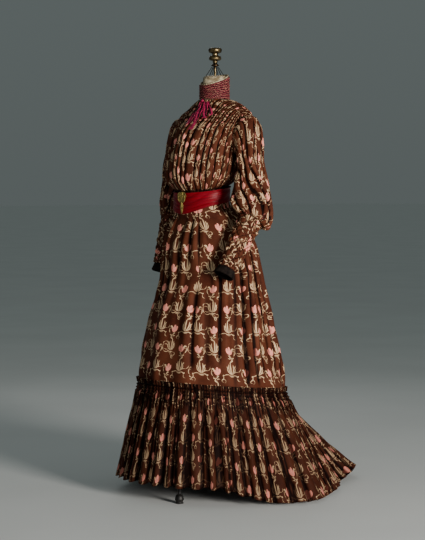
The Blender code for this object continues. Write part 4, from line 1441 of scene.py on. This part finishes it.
    def upper_relief(self, u: float, v: float) -> float:
        """Small tucks in the head, then deep folds that hang into the puff."""
        last = len(self.rings) + 2
        s = v * last
        angle = -self.side * tau * u
        ring = Vector((2.5 * cos(angle), 2.5 * sin(angle), s * 0.55 + 7 * self.side))
        wander = 0.30 * noise(ring)
        slant = 0.95 * smooth((s - 3.6) / 4.2)
        k, share = self.ring_folds.at(angle + wander * smooth((s - 1.5) / 2) + slant)
        near_body = 0.35 if cos(angle) < -0.3 else 1.0
        deep = self.swell(s) * 1.25 * (1 + 0.4 * uneven(k, 6)) * crest(share, 0.7)
        head = self.head_tuck * crest((angle * 26 / tau) % 1.0, 0.7) * smooth((s - 0.6) / 0.5)
        head *= 1 - smooth((s - 1.8) / 1.2)
        head *= 0.35 + 0.65 * smooth(0.5 + cos(angle))
        place = Vector((5 * cos(angle), 5 * sin(angle), s * 1.3))
        small = self.crease * noise(place) * smooth((s - 2) / 1.5) * smooth((last - s) / 0.6)
        gather = self.foot_gather * crest((angle * 30 / tau) % 1.0, 0.7) * smooth((s - 7.6) / 0.7)
        gather *= smooth((last - s) / 0.25)
        return 0.0016 + near_body * max(0.0, deep + head + small + 0.0008) + gather

    def upper_cut_at(self, u: float, v: float, near: float) -> tuple[float, float]:
        """The upper sleeve's flat cloth. The print slips from fold to fold."""
        k, _ = self.ring_folds.at(-self.side * tau * near)
        width, length = self.upper_cut
        return u * width * 1.5 + 0.4 * self.side, -1.25 * v * length + 0.02 * uneven(k, 8)

    def lower_base(self, u: float, v: float) -> Vector:
        """The close forearm under its smocking."""
        return self.mirrored(self.forearm_point(-self.side * u, v, self.radius(v)))

    def lower_relief(self, u: float, v: float) -> float:
        """Crossed ruching: small puffs between slanting rows of stitches."""
        rise, fall = self.stitch_lines(u, v)
        puff = abs(sin(pi * rise) * sin(pi * fall)) ** 0.6
        size = 1 + 0.4 * uneven(int(rise + 50) * 7 + int(fall + 50), 2)
        return OFF_BASE + self.puff * size * puff * smooth(v / 0.03) * smooth((1 - v) / 0.02)

    @staticmethod
    def stitch_lines(u: float, v: float) -> tuple[float, float]:
        """How many slanting rows of stitches lie before a point, one way and the other."""
        wave = 0.14 * noise(Vector((6 * cos(tau * u), 6 * sin(tau * u), v * 5)))
        return 7 * u + 6.5 * v + wave, 7 * u - 6.5 * v + wave

    def lower_cut_at(self, u: float, v: float, near: float) -> tuple[float, float]:
        """The forearm's flat cloth. Each puff takes up its own bit, so the print breaks between them."""
        rise, fall = (floor(line) for line in self.stitch_lines(near, v))
        across = self.puff_slip * uneven(7 * rise + fall, 3)
        down = self.puff_slip * uneven(rise + 5 * fall, 8)
        return u * self.lower_cut[0] + 0.2 + across, -v * self.lower_cut[1] + down

    def cuff_base(self, u: float, v: float) -> Vector:
        """The flared edge, which turns back inside on itself."""
        length = (self.wrist - self.elbow).length
        fold = 1 - abs(1 - 1.25 * v)
        radius = self.cuff_radius + self.cuff_flare * fold - 0.0022 * (v > 0.8)
        down = 1 + (0.0006 + self.cuff_length * fold) / length
        return self.mirrored(self.forearm_point(-self.side * u, down, radius))

    def make(self) -> None:
        """Builds and hangs the three pieces of the sleeve."""
        upper, lower, cuff = (f"{part}_{self.label}" for part in ("sleeve_upper", "sleeve_lower", "cuff"))
        sheet = Cloth(
            f"{upper}_cloth", self.upper_base, self.upper_relief, self.upper_cut_at, self.columns,
            self.rows, wrapped=True, dip_scale=30.0,
        )
        made = dress(sheet.make(), PRINTED_SILK, (upper,))
        sheet = Cloth(
            f"{lower}_cloth", self.lower_base, self.lower_relief, self.lower_cut_at, columns=140, rows=110,
            wrapped=True, dip_scale=9.0,
        )
        made = dress(sheet.make(), PRINTED_SILK, (lower,))
        sheet = Cloth(
            f"{cuff}_edge", self.cuff_base, even(CLOTH), strip(*self.cuff_cut), columns=64, rows=10,
            wrapped=True,
        )
        made = dress(sheet.make(), VELVET, (cuff,))


@dataclass
class Collar:
    """The standing collar: rows of small ruches and a narrow cream frill along its top."""

    front_top: float = 1.409
    back_top: float = 1.446
    radius: float = 0.0475
    foot: float = 1.3618
    centre: float = -0.007
    ruches: int = 8
    cut: tuple[float, float] = (0.32, 0.09)
    frill_cut: tuple[float, float] = (0.33, 0.013)
    stand: float = 0.0004
    ruche: float = 0.0034
    crease: float = 0.0018
    stitch: float = 0.0004

    def top(self, turn: float) -> float:
        """The height of the collar's upper edge."""
        return (self.front_top + self.back_top) / 2 - (self.back_top - self.front_top) / 2 * cos(turn)

    def base(self, u: float, v: float) -> Vector:
        """The collar without its ruches."""
        turn = tau * u
        top = self.top(turn)
        height = top + (self.foot - top) * v
        return Vector((self.radius * sin(turn), self.centre - self.radius * cos(turn), height))

    def relief(self, u: float, v: float) -> float:
        """Uneven ruches that run round the neck, caught down by fine stitches."""
        turn = tau * u
        ring = Vector((2.2 * cos(turn), 2.2 * sin(turn), 0.0))
        wander = 0.7 * noise(ring + Vector((0, 0, v * 4)))
        share = (self.ruches * v + wander) % 1.0
        small = self.crease * noise(ring * 8 + Vector((0, 0, v * 22)))
        stitch = self.stitch * sin(64 * turn + 3 * sin(6 * tau * v))
        raised = self.ruche * crest(share, 0.6) + small + stitch
        return OFF_BASE + raised * smooth(v / 0.03) * smooth((1 - v) / 0.03) + self.stand

    def frill_base(self, u: float, v: float) -> Vector:
        """A ribbon just inside the collar's top that stands a little above it."""
        turn = tau * u
        wave = 0.0011 * sin(34 * turn) * (1 - v)
        radius = self.radius - 0.0012 + wave + 0.0012 * (1 - v)
        height = self.top(turn) + 0.0042 - 0.011 * v
        return Vector((radius * sin(turn), self.centre - radius * cos(turn), height))

    def make(self) -> None:
        """Builds the collar and its frill."""
        frill = Cloth(
            "collar_frill", self.frill_base, even(0.0), strip(*self.frill_cut), columns=240, rows=5,
            wrapped=True, thickness=0.0005,
        )
        made = dress(frill.make(), IVORY)
        sheet = Cloth(
            "ruched_collar", self.base, self.relief, strip(*self.cut), columns=160, rows=84, wrapped=True,
            dip_scale=45.0,
        )
        made = dress(sheet.make(), WINE_SILK, ("collar",))


class Ribbon(NamedTuple):
    """An end of the tie: its places sideways, how low it hangs, its width and whether it is a loop."""

    name: str
    start: float
    end: float
    foot: float
    width: float
    looped: bool


@dataclass
class Tie:
    """A soft knot under the collar with two tails and two flattened loops."""

    top: float = 1.342
    under_knot: float = 0.006
    stand: float = 0.0074
    fullness: float = 1.3
    crease: float = 0.0016
    loop_depth: float = 0.0042
    end_curl: float = 0.0022
    knot: Vector = field(default_factory=lambda: Vector((0.004, -0.0650, 1.3560)))
    ribbons: tuple[Ribbon, ...] = (
        Ribbon("tie_tail_right", -0.003, -0.005, 1.268, 0.019, False),
        Ribbon("tie_tail_left", 0.010, 0.030, 1.250, 0.020, False),
        Ribbon("tie_loop_front", 0.021, 0.054, 1.288, 0.018, True),
        Ribbon("tie_loop_back", 0.030, 0.074, 1.300, 0.011, True),
    )

    def length(self, ribbon: Ribbon) -> float:
        """How long a ribbon was cut."""
        seen = hypot(self.top + self.under_knot - ribbon.foot, ribbon.end - ribbon.start)
        return seen * (2.15 if ribbon.looped else 1.05)

    def ribbon_sheet(self, ribbon: Ribbon, salt: int) -> Cloth:
        """One ribbon, creased along its length, over the bodice's front.

        Args:
            ribbon: The ribbon.
            salt: Shifts its creases.

        Returns:
            The sheet.
        """
        length = self.length(ribbon)

        def base(u: float, v: float) -> Vector:
            """The bodice's front under the ribbon, which a loop goes down and up again."""
            down = 1 - abs(1 - 2 * v) if ribbon.looped else v
            height = self.top + self.under_knot + (ribbon.foot - self.top - self.under_knot) * down
            sway = 0.0018 * sin(5 * down + salt)
            width = ribbon.width * (0.62 + 0.45 * smooth(down / 0.6))
            x = ribbon.start + (ribbon.end - ribbon.start) * down + sway + width * (u - 0.5)
            share = x / BODICE.half_width(height)
            return Vector((x, BODICE.centre(height) - BODICE.front(height) * sqrt(1 - share**2), height))

        def relief(u: float, v: float) -> float:
            """Creases along the ribbon, and how far a loop's second half or a tail's end stands off."""
            crease = self.crease * sin(tau * (1.15 * u + 0.5 * sin(4 * v + salt)))
            crease *= smooth(1.2 - v)
            back = self.loop_depth * smooth((v - 0.46) / 0.10) if ribbon.looped else 0.0
            edge = self.end_curl * bump(v, 1.0, 0.10) * (not ribbon.looped)
            return self.stand + crease + back + edge

        def cut(u: float, v: float, near: float) -> tuple[float, float]:
            """A straight strip, each ribbon's own length of the silk."""
            return u * ribbon.width * self.fullness + 0.1 * salt, -v * length

        rows = 56 if ribbon.looped else 34
        return Cloth(f"{ribbon.name}_ribbon", base, relief, cut, columns=10, rows=rows, thickness=0.0006)

    def knot_piece(self) -> Piece:
        """The knot: a small pinched roll of ribbon."""
        mesh = bmesh.new()
        bmesh.ops.create_uvsphere(mesh, u_segments=32, v_segments=20, radius=1.0)
        for vert in mesh.verts:
            x, y, z = vert.co
            pinch = 1 - 0.30 * exp(-((x * 2.4) ** 2)) * abs(z)
            fold = 1 + 0.10 * sin(9 * atan2(z, y) + 3 * x)
            vert.co = Vector((x * 0.0060, y * 0.0040 * fold, z * 0.0050 * pinch * fold)) + self.knot + POLE
        return link("knot", mesh)

    def make(self) -> None:
        """Builds the knot and the ribbons."""
        dress(self.knot_piece(), TIE_SILK, ("tie_knot",))
        for salt, ribbon in enumerate(self.ribbons):
            made = dress(self.ribbon_sheet(ribbon, salt).make(), TIE_SILK, (ribbon.name,))
            self.length(ribbon)


@dataclass
class Belt:
    """The satin belt, drawn into soft lengthwise folds and deepest at its pointed front."""

    waist: float = 1.022
    half_height: float = 0.031
    point: float = 0.013
    point_turn: float = 26.0
    side_rise: float = 0.011
    clearance: float = 0.0044
    stand: float = 0.0016
    fold: float = 0.0036
    roll: float = 0.0012
    cut: tuple[float, float] = (0.62, 0.078)

    def base(self, u: float, v: float) -> Vector:
        """The belt without its folds."""
        turn = tau * u
        off_front = from_front(turn)
        top = self.waist + self.half_height
        foot = self.waist - self.half_height - self.point * bump(off_front, 0.0, self.point_turn)
        foot += self.side_rise * smooth((abs(off_front) - 20) / 60)
        height = top + (foot - top) * v
        return (BODICE if height >= self.waist else SKIRT).point(height, turn)

    def relief(self, u: float, v: float) -> float:
        """Folds that slant and fade round the waist, drawn together under the clasp."""
        turn = tau * u
        ring = Vector((1.3 * cos(turn), 1.3 * sin(turn), 0.0))
        wander = 0.9 * noise(ring + Vector((0, 0, v * 1.6)))
        share = (2.6 * v + wander + 0.25 * sin(turn)) % 1.0
        fold = self.fold * crest(share, 0.8) * (0.75 + 0.5 * noise(ring * 2 + Vector((0, 0, 4 * v + 9))))
        pull = 1 - 0.6 * bump(from_front(turn), 0.0, 16.0)
        roll = self.roll * (bump(v, 0.02, 0.03) + bump(v, 0.98, 0.03))
        return self.clearance + self.stand + (fold + roll) * pull

    def make(self) -> None:
        """Builds the belt."""
        cut = strip(*self.cut)
        sheet = Cloth("satin_belt", self.base, self.relief, cut, columns=200, rows=44, wrapped=True)
        made = dress(sheet.make(), RED_SATIN, ("belt",))


class Wire(NamedTuple):
    """A wire of the clasp's open work: an arc, in millimetres and degrees."""

    x: float
    y: float
    radius: float
    start: float
    sweep: float
    thick: float


@dataclass
class Clasp:
    """The gilt clasp: a pierced, scrolled head over a long pointed drop."""

    width: float = 0.044
    height: float = 0.040
    drop: float = 0.078
    thick: float = 0.003
    place: Vector = field(default_factory=lambda: Vector((0.0, -0.1530, 1.0240)))
    plate_share: float = 0.45
    sunk_share: float = 0.30
    rim_width: float = 0.0018
    beads: int = 9
    first_bead: float = 0.0021
    bead_taper: float = 0.00013
    bead_top: float = -0.019
    bead_step: float = 0.0037
    wires: tuple[Wire, ...] = (
        Wire(-9.5, 2.0, 6.2, 0, 360, 1.25),
        Wire(9.5, 2.0, 6.2, 0, 360, 1.25),
        Wire(0.0, 10.5, 5.0, 0, 360, 1.2),
        Wire(-13.0, -8.0, 4.6, 30, 250, 1.2),
        Wire(13.0, -8.0, 4.6, 150, -250, 1.2),
        Wire(0.0, -2.0, 3.2, 0, 360, 1.5),
    )

    def outline(self) -> list[Vector]:
        """The plate's outline, as in the solid."""
        head = []
        for i in range(60):
            angle = tau * i / 60
            pull = 1 + 0.10 * cos(3 * angle + pi)
            x, z = self.width / 2 * sin(angle) * pull, self.height / 2 * cos(angle) * pull
            head.append(Vector((x, 0, z)))
        lower = [(0.0045, -0.018), (0.0078, -0.027), (0.0075, -0.034), (0.0055, -0.046), (0.0025, -0.054)]
        foot = [(0.0, self.height / 2 - self.drop)]
        points = [*lower, *foot, *((-x, y) for x, y in reversed(lower))]
        return head[:27] + [Vector((x, 0, y)) for x, y in points] + head[34:]

    def plate(self) -> Piece:
        """The back plate with a raised rim."""
        mesh = bmesh.new()
        ring = [mesh.verts.new(point) for point in self.outline()]
        face = mesh.faces.new(ring)
        bmesh.ops.recalc_face_normals(mesh, faces=[face])
        if face.normal.y > 0:
            bmesh.ops.reverse_faces(mesh, faces=[face])
        solid = bmesh.ops.extrude_face_region(mesh, geom=[face])
        front = [part for part in solid["geom"] if isinstance(part, bmesh.types.BMFace)]
        raised = (0, -self.thick * self.plate_share, 0)
        bmesh.ops.translate(mesh, vec=raised, verts=[v for f in front for v in f.verts])
        bmesh.ops.inset_region(mesh, faces=front, thickness=self.rim_width, depth=0.0, use_even_offset=True)
        sunk = (0, self.thick * self.sunk_share, 0)
        bmesh.ops.translate(mesh, vec=sunk, verts=[v for f in front for v in f.verts])
        bmesh.ops.triangulate(mesh, faces=mesh.faces)
        bmesh.ops.recalc_face_normals(mesh, faces=mesh.faces)
        bmesh.ops.translate(mesh, vec=self.place + POLE, verts=mesh.verts)
        return link("clasp_plate", mesh)

    def scrolls(self) -> Piece:
        """The scrolled wires and the drop's beaded rib, each spun from a small circle."""
        mesh = bmesh.new()
        for wire in self.wires:
            middle = Vector((wire.x, 0, wire.y)) / 1000
            start = radians(wire.start)
            rim = Vector((cos(start), 0, sin(start))) * wire.radius / 1000
            whole = abs(wire.sweep) >= 360
            made = bmesh.ops.create_circle(mesh, segments=8, radius=wire.thick / 1000, cap_ends=not whole)
            verts = made["verts"]
            along = Vector((0, 1, 0)).cross(rim).normalized()
            turn = Vector((0, 0, 1)).rotation_difference(along).to_matrix().to_4x4()
            bmesh.ops.transform(mesh, matrix=Matrix.Translation(middle + rim) @ turn, verts=verts)
            rims = {edge for vert in verts for edge in vert.link_edges}
            caps = {face for vert in verts for face in vert.link_faces}
            steps = max(8, int(abs(wire.sweep) / 12))
            bmesh.ops.spin(
                mesh, geom=[*verts, *rims, *caps], cent=middle, axis=(0, 1, 0),
                angle=radians(-wire.sweep), steps=steps, use_merge=whole,
            )
        for i in range(self.beads):
            size = self.first_bead - self.bead_taper * i
            bead = bmesh.ops.create_uvsphere(mesh, u_segments=10, v_segments=8, radius=size)
            place = (0, 0.0004, self.bead_top - self.bead_step * i)
            bmesh.ops.translate(mesh, vec=place, verts=bead["verts"])
        bmesh.ops.remove_doubles(mesh, verts=mesh.verts, dist=MERGE)
        bmesh.ops.recalc_face_normals(mesh, faces=mesh.faces)
        place = self.place + POLE + Vector((0, -self.thick * self.plate_share, 0))
        bmesh.ops.translate(mesh, vec=place, verts=mesh.verts)
        return link("clasp_scrolls", mesh)

    def make(self) -> None:
        """Builds the clasp."""
        dress(self.plate(), GILT, ("buckle",))
        dress(self.scrolls(), GILT)


class Turning(NamedTuple):
    """A ring of a turned piece."""

    radius: float
    height: float


def turned(
    name: str, rings: Sequence[Turning], steps: int, place: Vector = Vector()
) -> Piece:
    """A turned solid, spun from its outline about an upright line.

    Args:
        name: The piece's name.
        rings: Its outline from the top to the foot.
        steps: How many flat sides it has.
        place: Where its middle line stands, from the pole.

    Returns:
        The object.
    """
    mesh = bmesh.new()
    rim = [Vector((ring.radius, 0, ring.height)) for ring in rings]
    line = [Vector((0, 0, rim[0].z)), *rim, Vector((0, 0, rim[-1].z))]
    verts = [mesh.verts.new(point + POLE + place) for point in line]
    edges = [mesh.edges.new(pair) for pair in zip(verts, verts[1:])]
    bmesh.ops.spin(
        mesh, geom=verts + edges, cent=POLE + place, axis=(0, 0, 1), angle=tau, steps=steps, use_merge=True
    )
    bmesh.ops.remove_doubles(mesh, verts=mesh.verts, dist=MERGE)
    bmesh.ops.recalc_face_normals(mesh, faces=mesh.faces)
    made = link(name, mesh)
    made.data.set_sharp_from_angle(angle=radians(50))
    return made


def swept(name: str, route: Sequence[Vector], radii: Sequence[float], sides: int = 12) -> Piece:
    """A round bar that follows a route, with its own radius at each point.

    Args:
        name: The piece's name.
        route: The points of its middle line, from the pole.
        radii: Its radius at each point.
        sides: How many sides it has.

    Returns:
        The object.
    """
    mesh = bmesh.new()
    rings = []
    for k, (point, radius) in enumerate(zip(route, radii)):
        way = (route[min(k + 1, len(route) - 1)] - route[max(k - 1, 0)]).normalized()
        closed = k in (0, len(route) - 1)
        ring = bmesh.ops.create_circle(mesh, segments=sides, radius=radius, cap_ends=closed)["verts"]
        turn = way.to_track_quat("Z", "X").to_matrix().to_4x4()
        bmesh.ops.transform(mesh, matrix=Matrix.Translation(point + POLE) @ turn, verts=ring)
        rings.append([edge for edge in mesh.edges if all(vert in ring for vert in edge.verts)])
    for low, high in zip(rings, rings[1:]):
        bmesh.ops.bridge_loops(mesh, edges=low + high)
    bmesh.ops.recalc_face_normals(mesh, faces=mesh.faces)
    return link(name, mesh)


@dataclass
class DressForm:
    """The limbless form: its cloth-covered torso, crumpled neck top, struts and turned finial."""

    foot: float = 0.800
    neck: float = 1.438
    crumpled_from: float = 1.395
    crumpling: float = 0.0022
    finial_y: float = -0.004
    cap_height: float = 1.4385
    cap_radius: float = 0.0375
    struts: int = 6
    knob: tuple[Turning, ...] = (
        Turning(0.0100, 1.5400), Turning(0.0165, 1.5396), Turning(0.0210, 1.5383), Turning(0.0235, 1.5345),
        Turning(0.0232, 1.5300), Turning(0.0212, 1.5240), Turning(0.0140, 1.5210), Turning(0.0100, 1.5195),
        Turning(0.0095, 1.5145), Turning(0.0150, 1.5128), Turning(0.0195, 1.5108), Turning(0.0217, 1.5050),
        Turning(0.0210, 1.5000), Turning(0.0190, 1.4972), Turning(0.0120, 1.4955), Turning(0.0085, 1.4942),
        Turning(0.0075, 1.4860), Turning(0.0100, 1.4830), Turning(0.0135, 1.4810), Turning(0.0135, 1.4780),
        Turning(0.0090, 1.4760), Turning(0.0045, 1.4745), Turning(0.0045, 1.4428),
    )

    def torso(self) -> Piece:
        """The smooth torso through its level rings, closed at both ends."""
        mesh = bmesh.new()
        bmesh.ops.create_grid(mesh, x_segments=72, y_segments=72, size=0.5)
        for vert in mesh.verts:
            u, v = vert.co.x + 0.5, 0.5 - vert.co.y
            place = FORM.point(self.neck + (self.foot - self.neck) * v, tau * u)
            crumpled = self.crumpling * crumple(place, Vector((70.0, 70.0, 45.0)), 2.0)
            crumpled *= smooth((place.z - self.crumpled_from) / 0.015)
            vert.co = place + Vector((place.x, place.y, 0)).normalized() * crumpled + POLE
        bmesh.ops.remove_doubles(mesh, verts=mesh.verts, dist=MERGE)
        bmesh.ops.holes_fill(mesh, edges=[edge for edge in mesh.edges if edge.is_boundary], sides=0)
        bmesh.ops.recalc_face_normals(mesh, faces=mesh.faces)
        return link("torso", mesh)

    def neck_top(self) -> Piece:
        """The crumpled cloth tied over the top of the neck."""
        mesh = bmesh.new()
        bmesh.ops.create_uvsphere(mesh, u_segments=72, v_segments=30, radius=1.0)
        for vert in mesh.verts:
            x, y, z = vert.co
            angle = atan2(y, x)
            out = hypot(x, y)
            pleat = 1 + 0.05 * sin(17 * angle + 2 * sin(3 * angle)) * out
            crumpled = 0.0016 * noise(Vector((x * 3, y * 3, z * 3 + 4)))
            height = self.cap_height + 0.0020 + z * (0.0019 if z > 0 else 0.0016)
            height += crumpled * out * (z > 0)
            x, y = x * self.cap_radius * pleat, y * self.cap_radius * pleat + self.finial_y
            vert.co = Vector((x, y, height)) + POLE
        return link("neck_top", mesh)

    def make(self) -> None:
        """Builds the form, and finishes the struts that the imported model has."""
        dress(self.torso(), IVORY, ("form_torso",))
        dress(self.neck_top(), GILDED_CLOTH, ("form_neck_cap",))
        dress(turned("finial", self.knob, 56, Vector((0, self.finial_y, 0))), BRASS, ("knob",))
        for i in range(self.struts):
            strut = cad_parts[f"strut_{i + 1}"]
            strut.data.materials.clear()
            strut.data.materials.append(IRON.material())


@dataclass
class Stand:
    """The iron stand: a pole, a moulded hub and three scrolled legs on pad feet."""

    pole_radius: float = 0.0125
    pole_top: float = 0.7997
    reach: float = 0.290
    first_turn: float = 25.0
    legs: int = 3
    leg_start: float = 0.0264
    leg_end: float = 0.284
    leg_outs: tuple[float, ...] = (0.026, 0.075, 0.130, 0.190, 0.245, 0.284)
    leg_heights: tuple[float, ...] = (0.113, 0.113, 0.106, 0.086, 0.066, 0.050)
    toe_out: float = 0.006
    toe_drop: float = 0.0195
    toe_radius: float = 0.0056

    def way(self, i: int) -> Vector:
        """The way out from the pole along a leg."""
        turn = radians(self.first_turn) + tau * i / self.legs
        return Vector((sin(turn), -cos(turn), 0))

    def leg(self, i: int) -> Piece:
        """One leg: out from the hub, down in a long curve and rolled over its foot."""
        way = self.way(i)
        route = SmoothCurve(self.leg_outs, self.leg_heights)
        points, radii = [], []
        for k in range(25):
            f = k / 24
            out = self.leg_start + (self.leg_end - self.leg_start) * f
            points.append(way * out + Vector((0, 0, route(out))))
            radii.append(0.0085 - 0.0030 * smooth(f * 1.3) + 0.0012 * bump(f, 0.55, 0.10))
        for k in range(1, 7):
            out = self.leg_end + self.toe_out * sin(radians(90) * k / 6)
            height = self.leg_heights[-1] - self.toe_drop * (k / 6)
            points.append(way * out + Vector((0, 0, height)))
            radii.append(self.toe_radius)
        return swept(f"leg_{i + 1}", points, radii)

    def foot(self, i: int) -> Piece:
        """One turned pad foot."""
        rings = (
            Turning(0.0062, 0.0300), Turning(0.0105, 0.0285), Turning(0.0135, 0.0235),
            Turning(0.0150, 0.0165), Turning(0.0148, 0.0120), Turning(0.0112, 0.0070),
            Turning(0.0118, 0.0040), Turning(0.0140, 0.0025), Turning(0.0140, 0.0),
        )
        return turned(f"foot_{i + 1}", rings, 28, self.way(i) * self.reach)

    def make(self) -> None:
        """Builds the pole, the hub, the legs and the feet."""
        pole = (
            Turning(self.pole_radius, self.pole_top), Turning(self.pole_radius, 0.160),
            Turning(0.0145, 0.158), Turning(0.0145, 0.150), Turning(self.pole_radius, 0.148),
            Turning(self.pole_radius, 0.1353),
        )
        hub = (
            Turning(0.0150, 0.1350), Turning(0.0185, 0.1345), Turning(0.0255, 0.1290),
            Turning(0.0260, 0.1240), Turning(0.0235, 0.1210), Turning(0.0235, 0.1050),
            Turning(0.0260, 0.1020), Turning(0.0255, 0.0970), Turning(0.0180, 0.0900),
            Turning(0.0140, 0.0880),
        )
        dress(turned("pole", pole, 32), IRON, ("stand_pole",))
        dress(turned("hub", hub, 40), IRON, ("stand_hub",))
        for i in range(self.legs):
            dress(self.leg(i), IRON, (f"stand_leg_{i + 1}",))
            dress(self.foot(i), IRON, (f"stand_foot_{i + 1}",))


@dataclass
class Lamp:
    """A soft square studio lamp."""

    name: str
    place: Vector
    aim: Vector
    size: float
    power: float
    spread: float
    tint: Colour

    def make(self) -> None:
        """Hangs the lamp."""
        data = bpy.data.lights.new(self.name, "AREA")
        data.shape = "SQUARE"
        data.size = self.size
        data.energy = self.power
        data.spread = radians(self.spread)
        data.color = self.tint
        made = bpy.data.objects.new(self.name, data)
        made.location = self.place
        made.rotation_euler = (self.aim - self.place).to_track_quat("-Z", "Y").to_euler()
        bpy.context.scene.collection.objects.link(made)


@dataclass
class Studio:
    """The floor, the lamps, the world's light and the camera.

    The camera stands azimuth degrees to the wearer's left of the front and looks at height aim from
    height eye. At the horizon the sky has the share horizon of its light overhead.
    """

    azimuth: float = 50.0
    distance: float = 6.0
    eye: float = 1.05
    aim: float = 0.776
    lens: float = 115.0
    shift: tuple[float, float] = (-0.0065, -0.003)
    lamps: tuple[Lamp, ...] = (
        Lamp(
            "key", place=Vector((5.8, -0.9, 1.35)), aim=Vector((0, -0.13, 0.75)), size=1.3, power=188.0,
            spread=110.0, tint=Colour(1.0, 0.96, 0.90),
        ),
        Lamp(
            "fill", place=Vector((2.4, -4.8, 1.3)), aim=Vector((0, -0.13, 0.8)), size=2.2, power=9.0,
            spread=120.0, tint=Colour(0.96, 0.98, 1.0),
        ),
        Lamp(
            "back", place=Vector((-3.2, 2.2, 2.8)), aim=Vector((0, -0.13, 0.9)), size=1.6, power=7.0,
            spread=120.0, tint=Colour(1.0, 1.0, 1.0),
        ),
    )
    sky: Colour = Colour(0.166, 0.196, 0.193)
    horizon: float = 0.590

    def floor(self) -> None:
        """A wide pale floor."""
        mesh = bmesh.new()
        bmesh.ops.create_grid(mesh, x_segments=2, y_segments=2, size=90.0)
        made = link("studio_floor", mesh)
        made.data.materials.append(FLOOR.material())

    def camera(self) -> None:
        """The camera, at the photograph's angle."""
        data = bpy.data.cameras.new("photograph")
        data.lens = self.lens
        data.sensor_width = 36.0
        data.shift_x, data.shift_y = self.shift
        made = bpy.data.objects.new("photograph", data)
        turn = radians(self.azimuth)
        off_pole = Vector((self.distance * sin(turn), -self.distance * cos(turn), self.eye))
        made.location = POLE + off_pole
        tilt = atan2(self.eye - self.aim, self.distance)
        made.rotation_euler = (radians(90) - tilt, 0.0, turn)
        bpy.context.scene.collection.objects.link(made)
        bpy.context.scene.camera = made

    def make(self) -> None:
        """Sets the stage. The sky dims towards the horizon to the tone of the far floor."""
        self.camera()
        self.floor()
        for lamp in self.lamps:
            lamp.make()
        world = bpy.data.worlds.new("studio")
        bpy.context.scene.world = world
        world.use_nodes = True
        wires = Wiring(world.node_tree)
        up = wires.parts(wires.add("ShaderNodeTexCoord").outputs["Generated"])[2]
        dim_shade = Colour(*(self.horizon * part for part in self.sky)).rgba()
        tone = wires.mix(wires.between(up, 0.0, 1.0), dim_shade, self.sky.rgba())
        wires.feed(world.node_tree.nodes["Background"].inputs["Color"], tone)


def main() -> None:
    """Dresses the frame piece by piece."""
    logging.basicConfig(level=logging.INFO, format="%(name)s: %(message)s")
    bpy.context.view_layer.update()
    Studio().make()
    DressForm().make()
    Stand().make()
    BodicePanel(
        "bodice_front", facing=1, folds=18, salt=7, columns=252, cut_width=0.60, cut_length=0.36
    ).make()
    BodicePanel(
        "bodice_back", facing=-1, folds=12, salt=8, columns=150, cut_width=0.50, cut_length=0.35
    ).make()
    Skirt().make()
    Flounce().make()
    Arm("left", side=1, wrist=Vector((0.205, -0.125, 0.785)), ease=0.0013, fuller=0.024).make()
    Arm("right", side=-1, wrist=Vector((0.218, -0.064, 0.785)), ease=0.0021, fuller=0.0).make()
    Collar().make()
    Tie().make()
    Belt().make()
    Clasp().make()


if __name__ == "__main__":
    main()
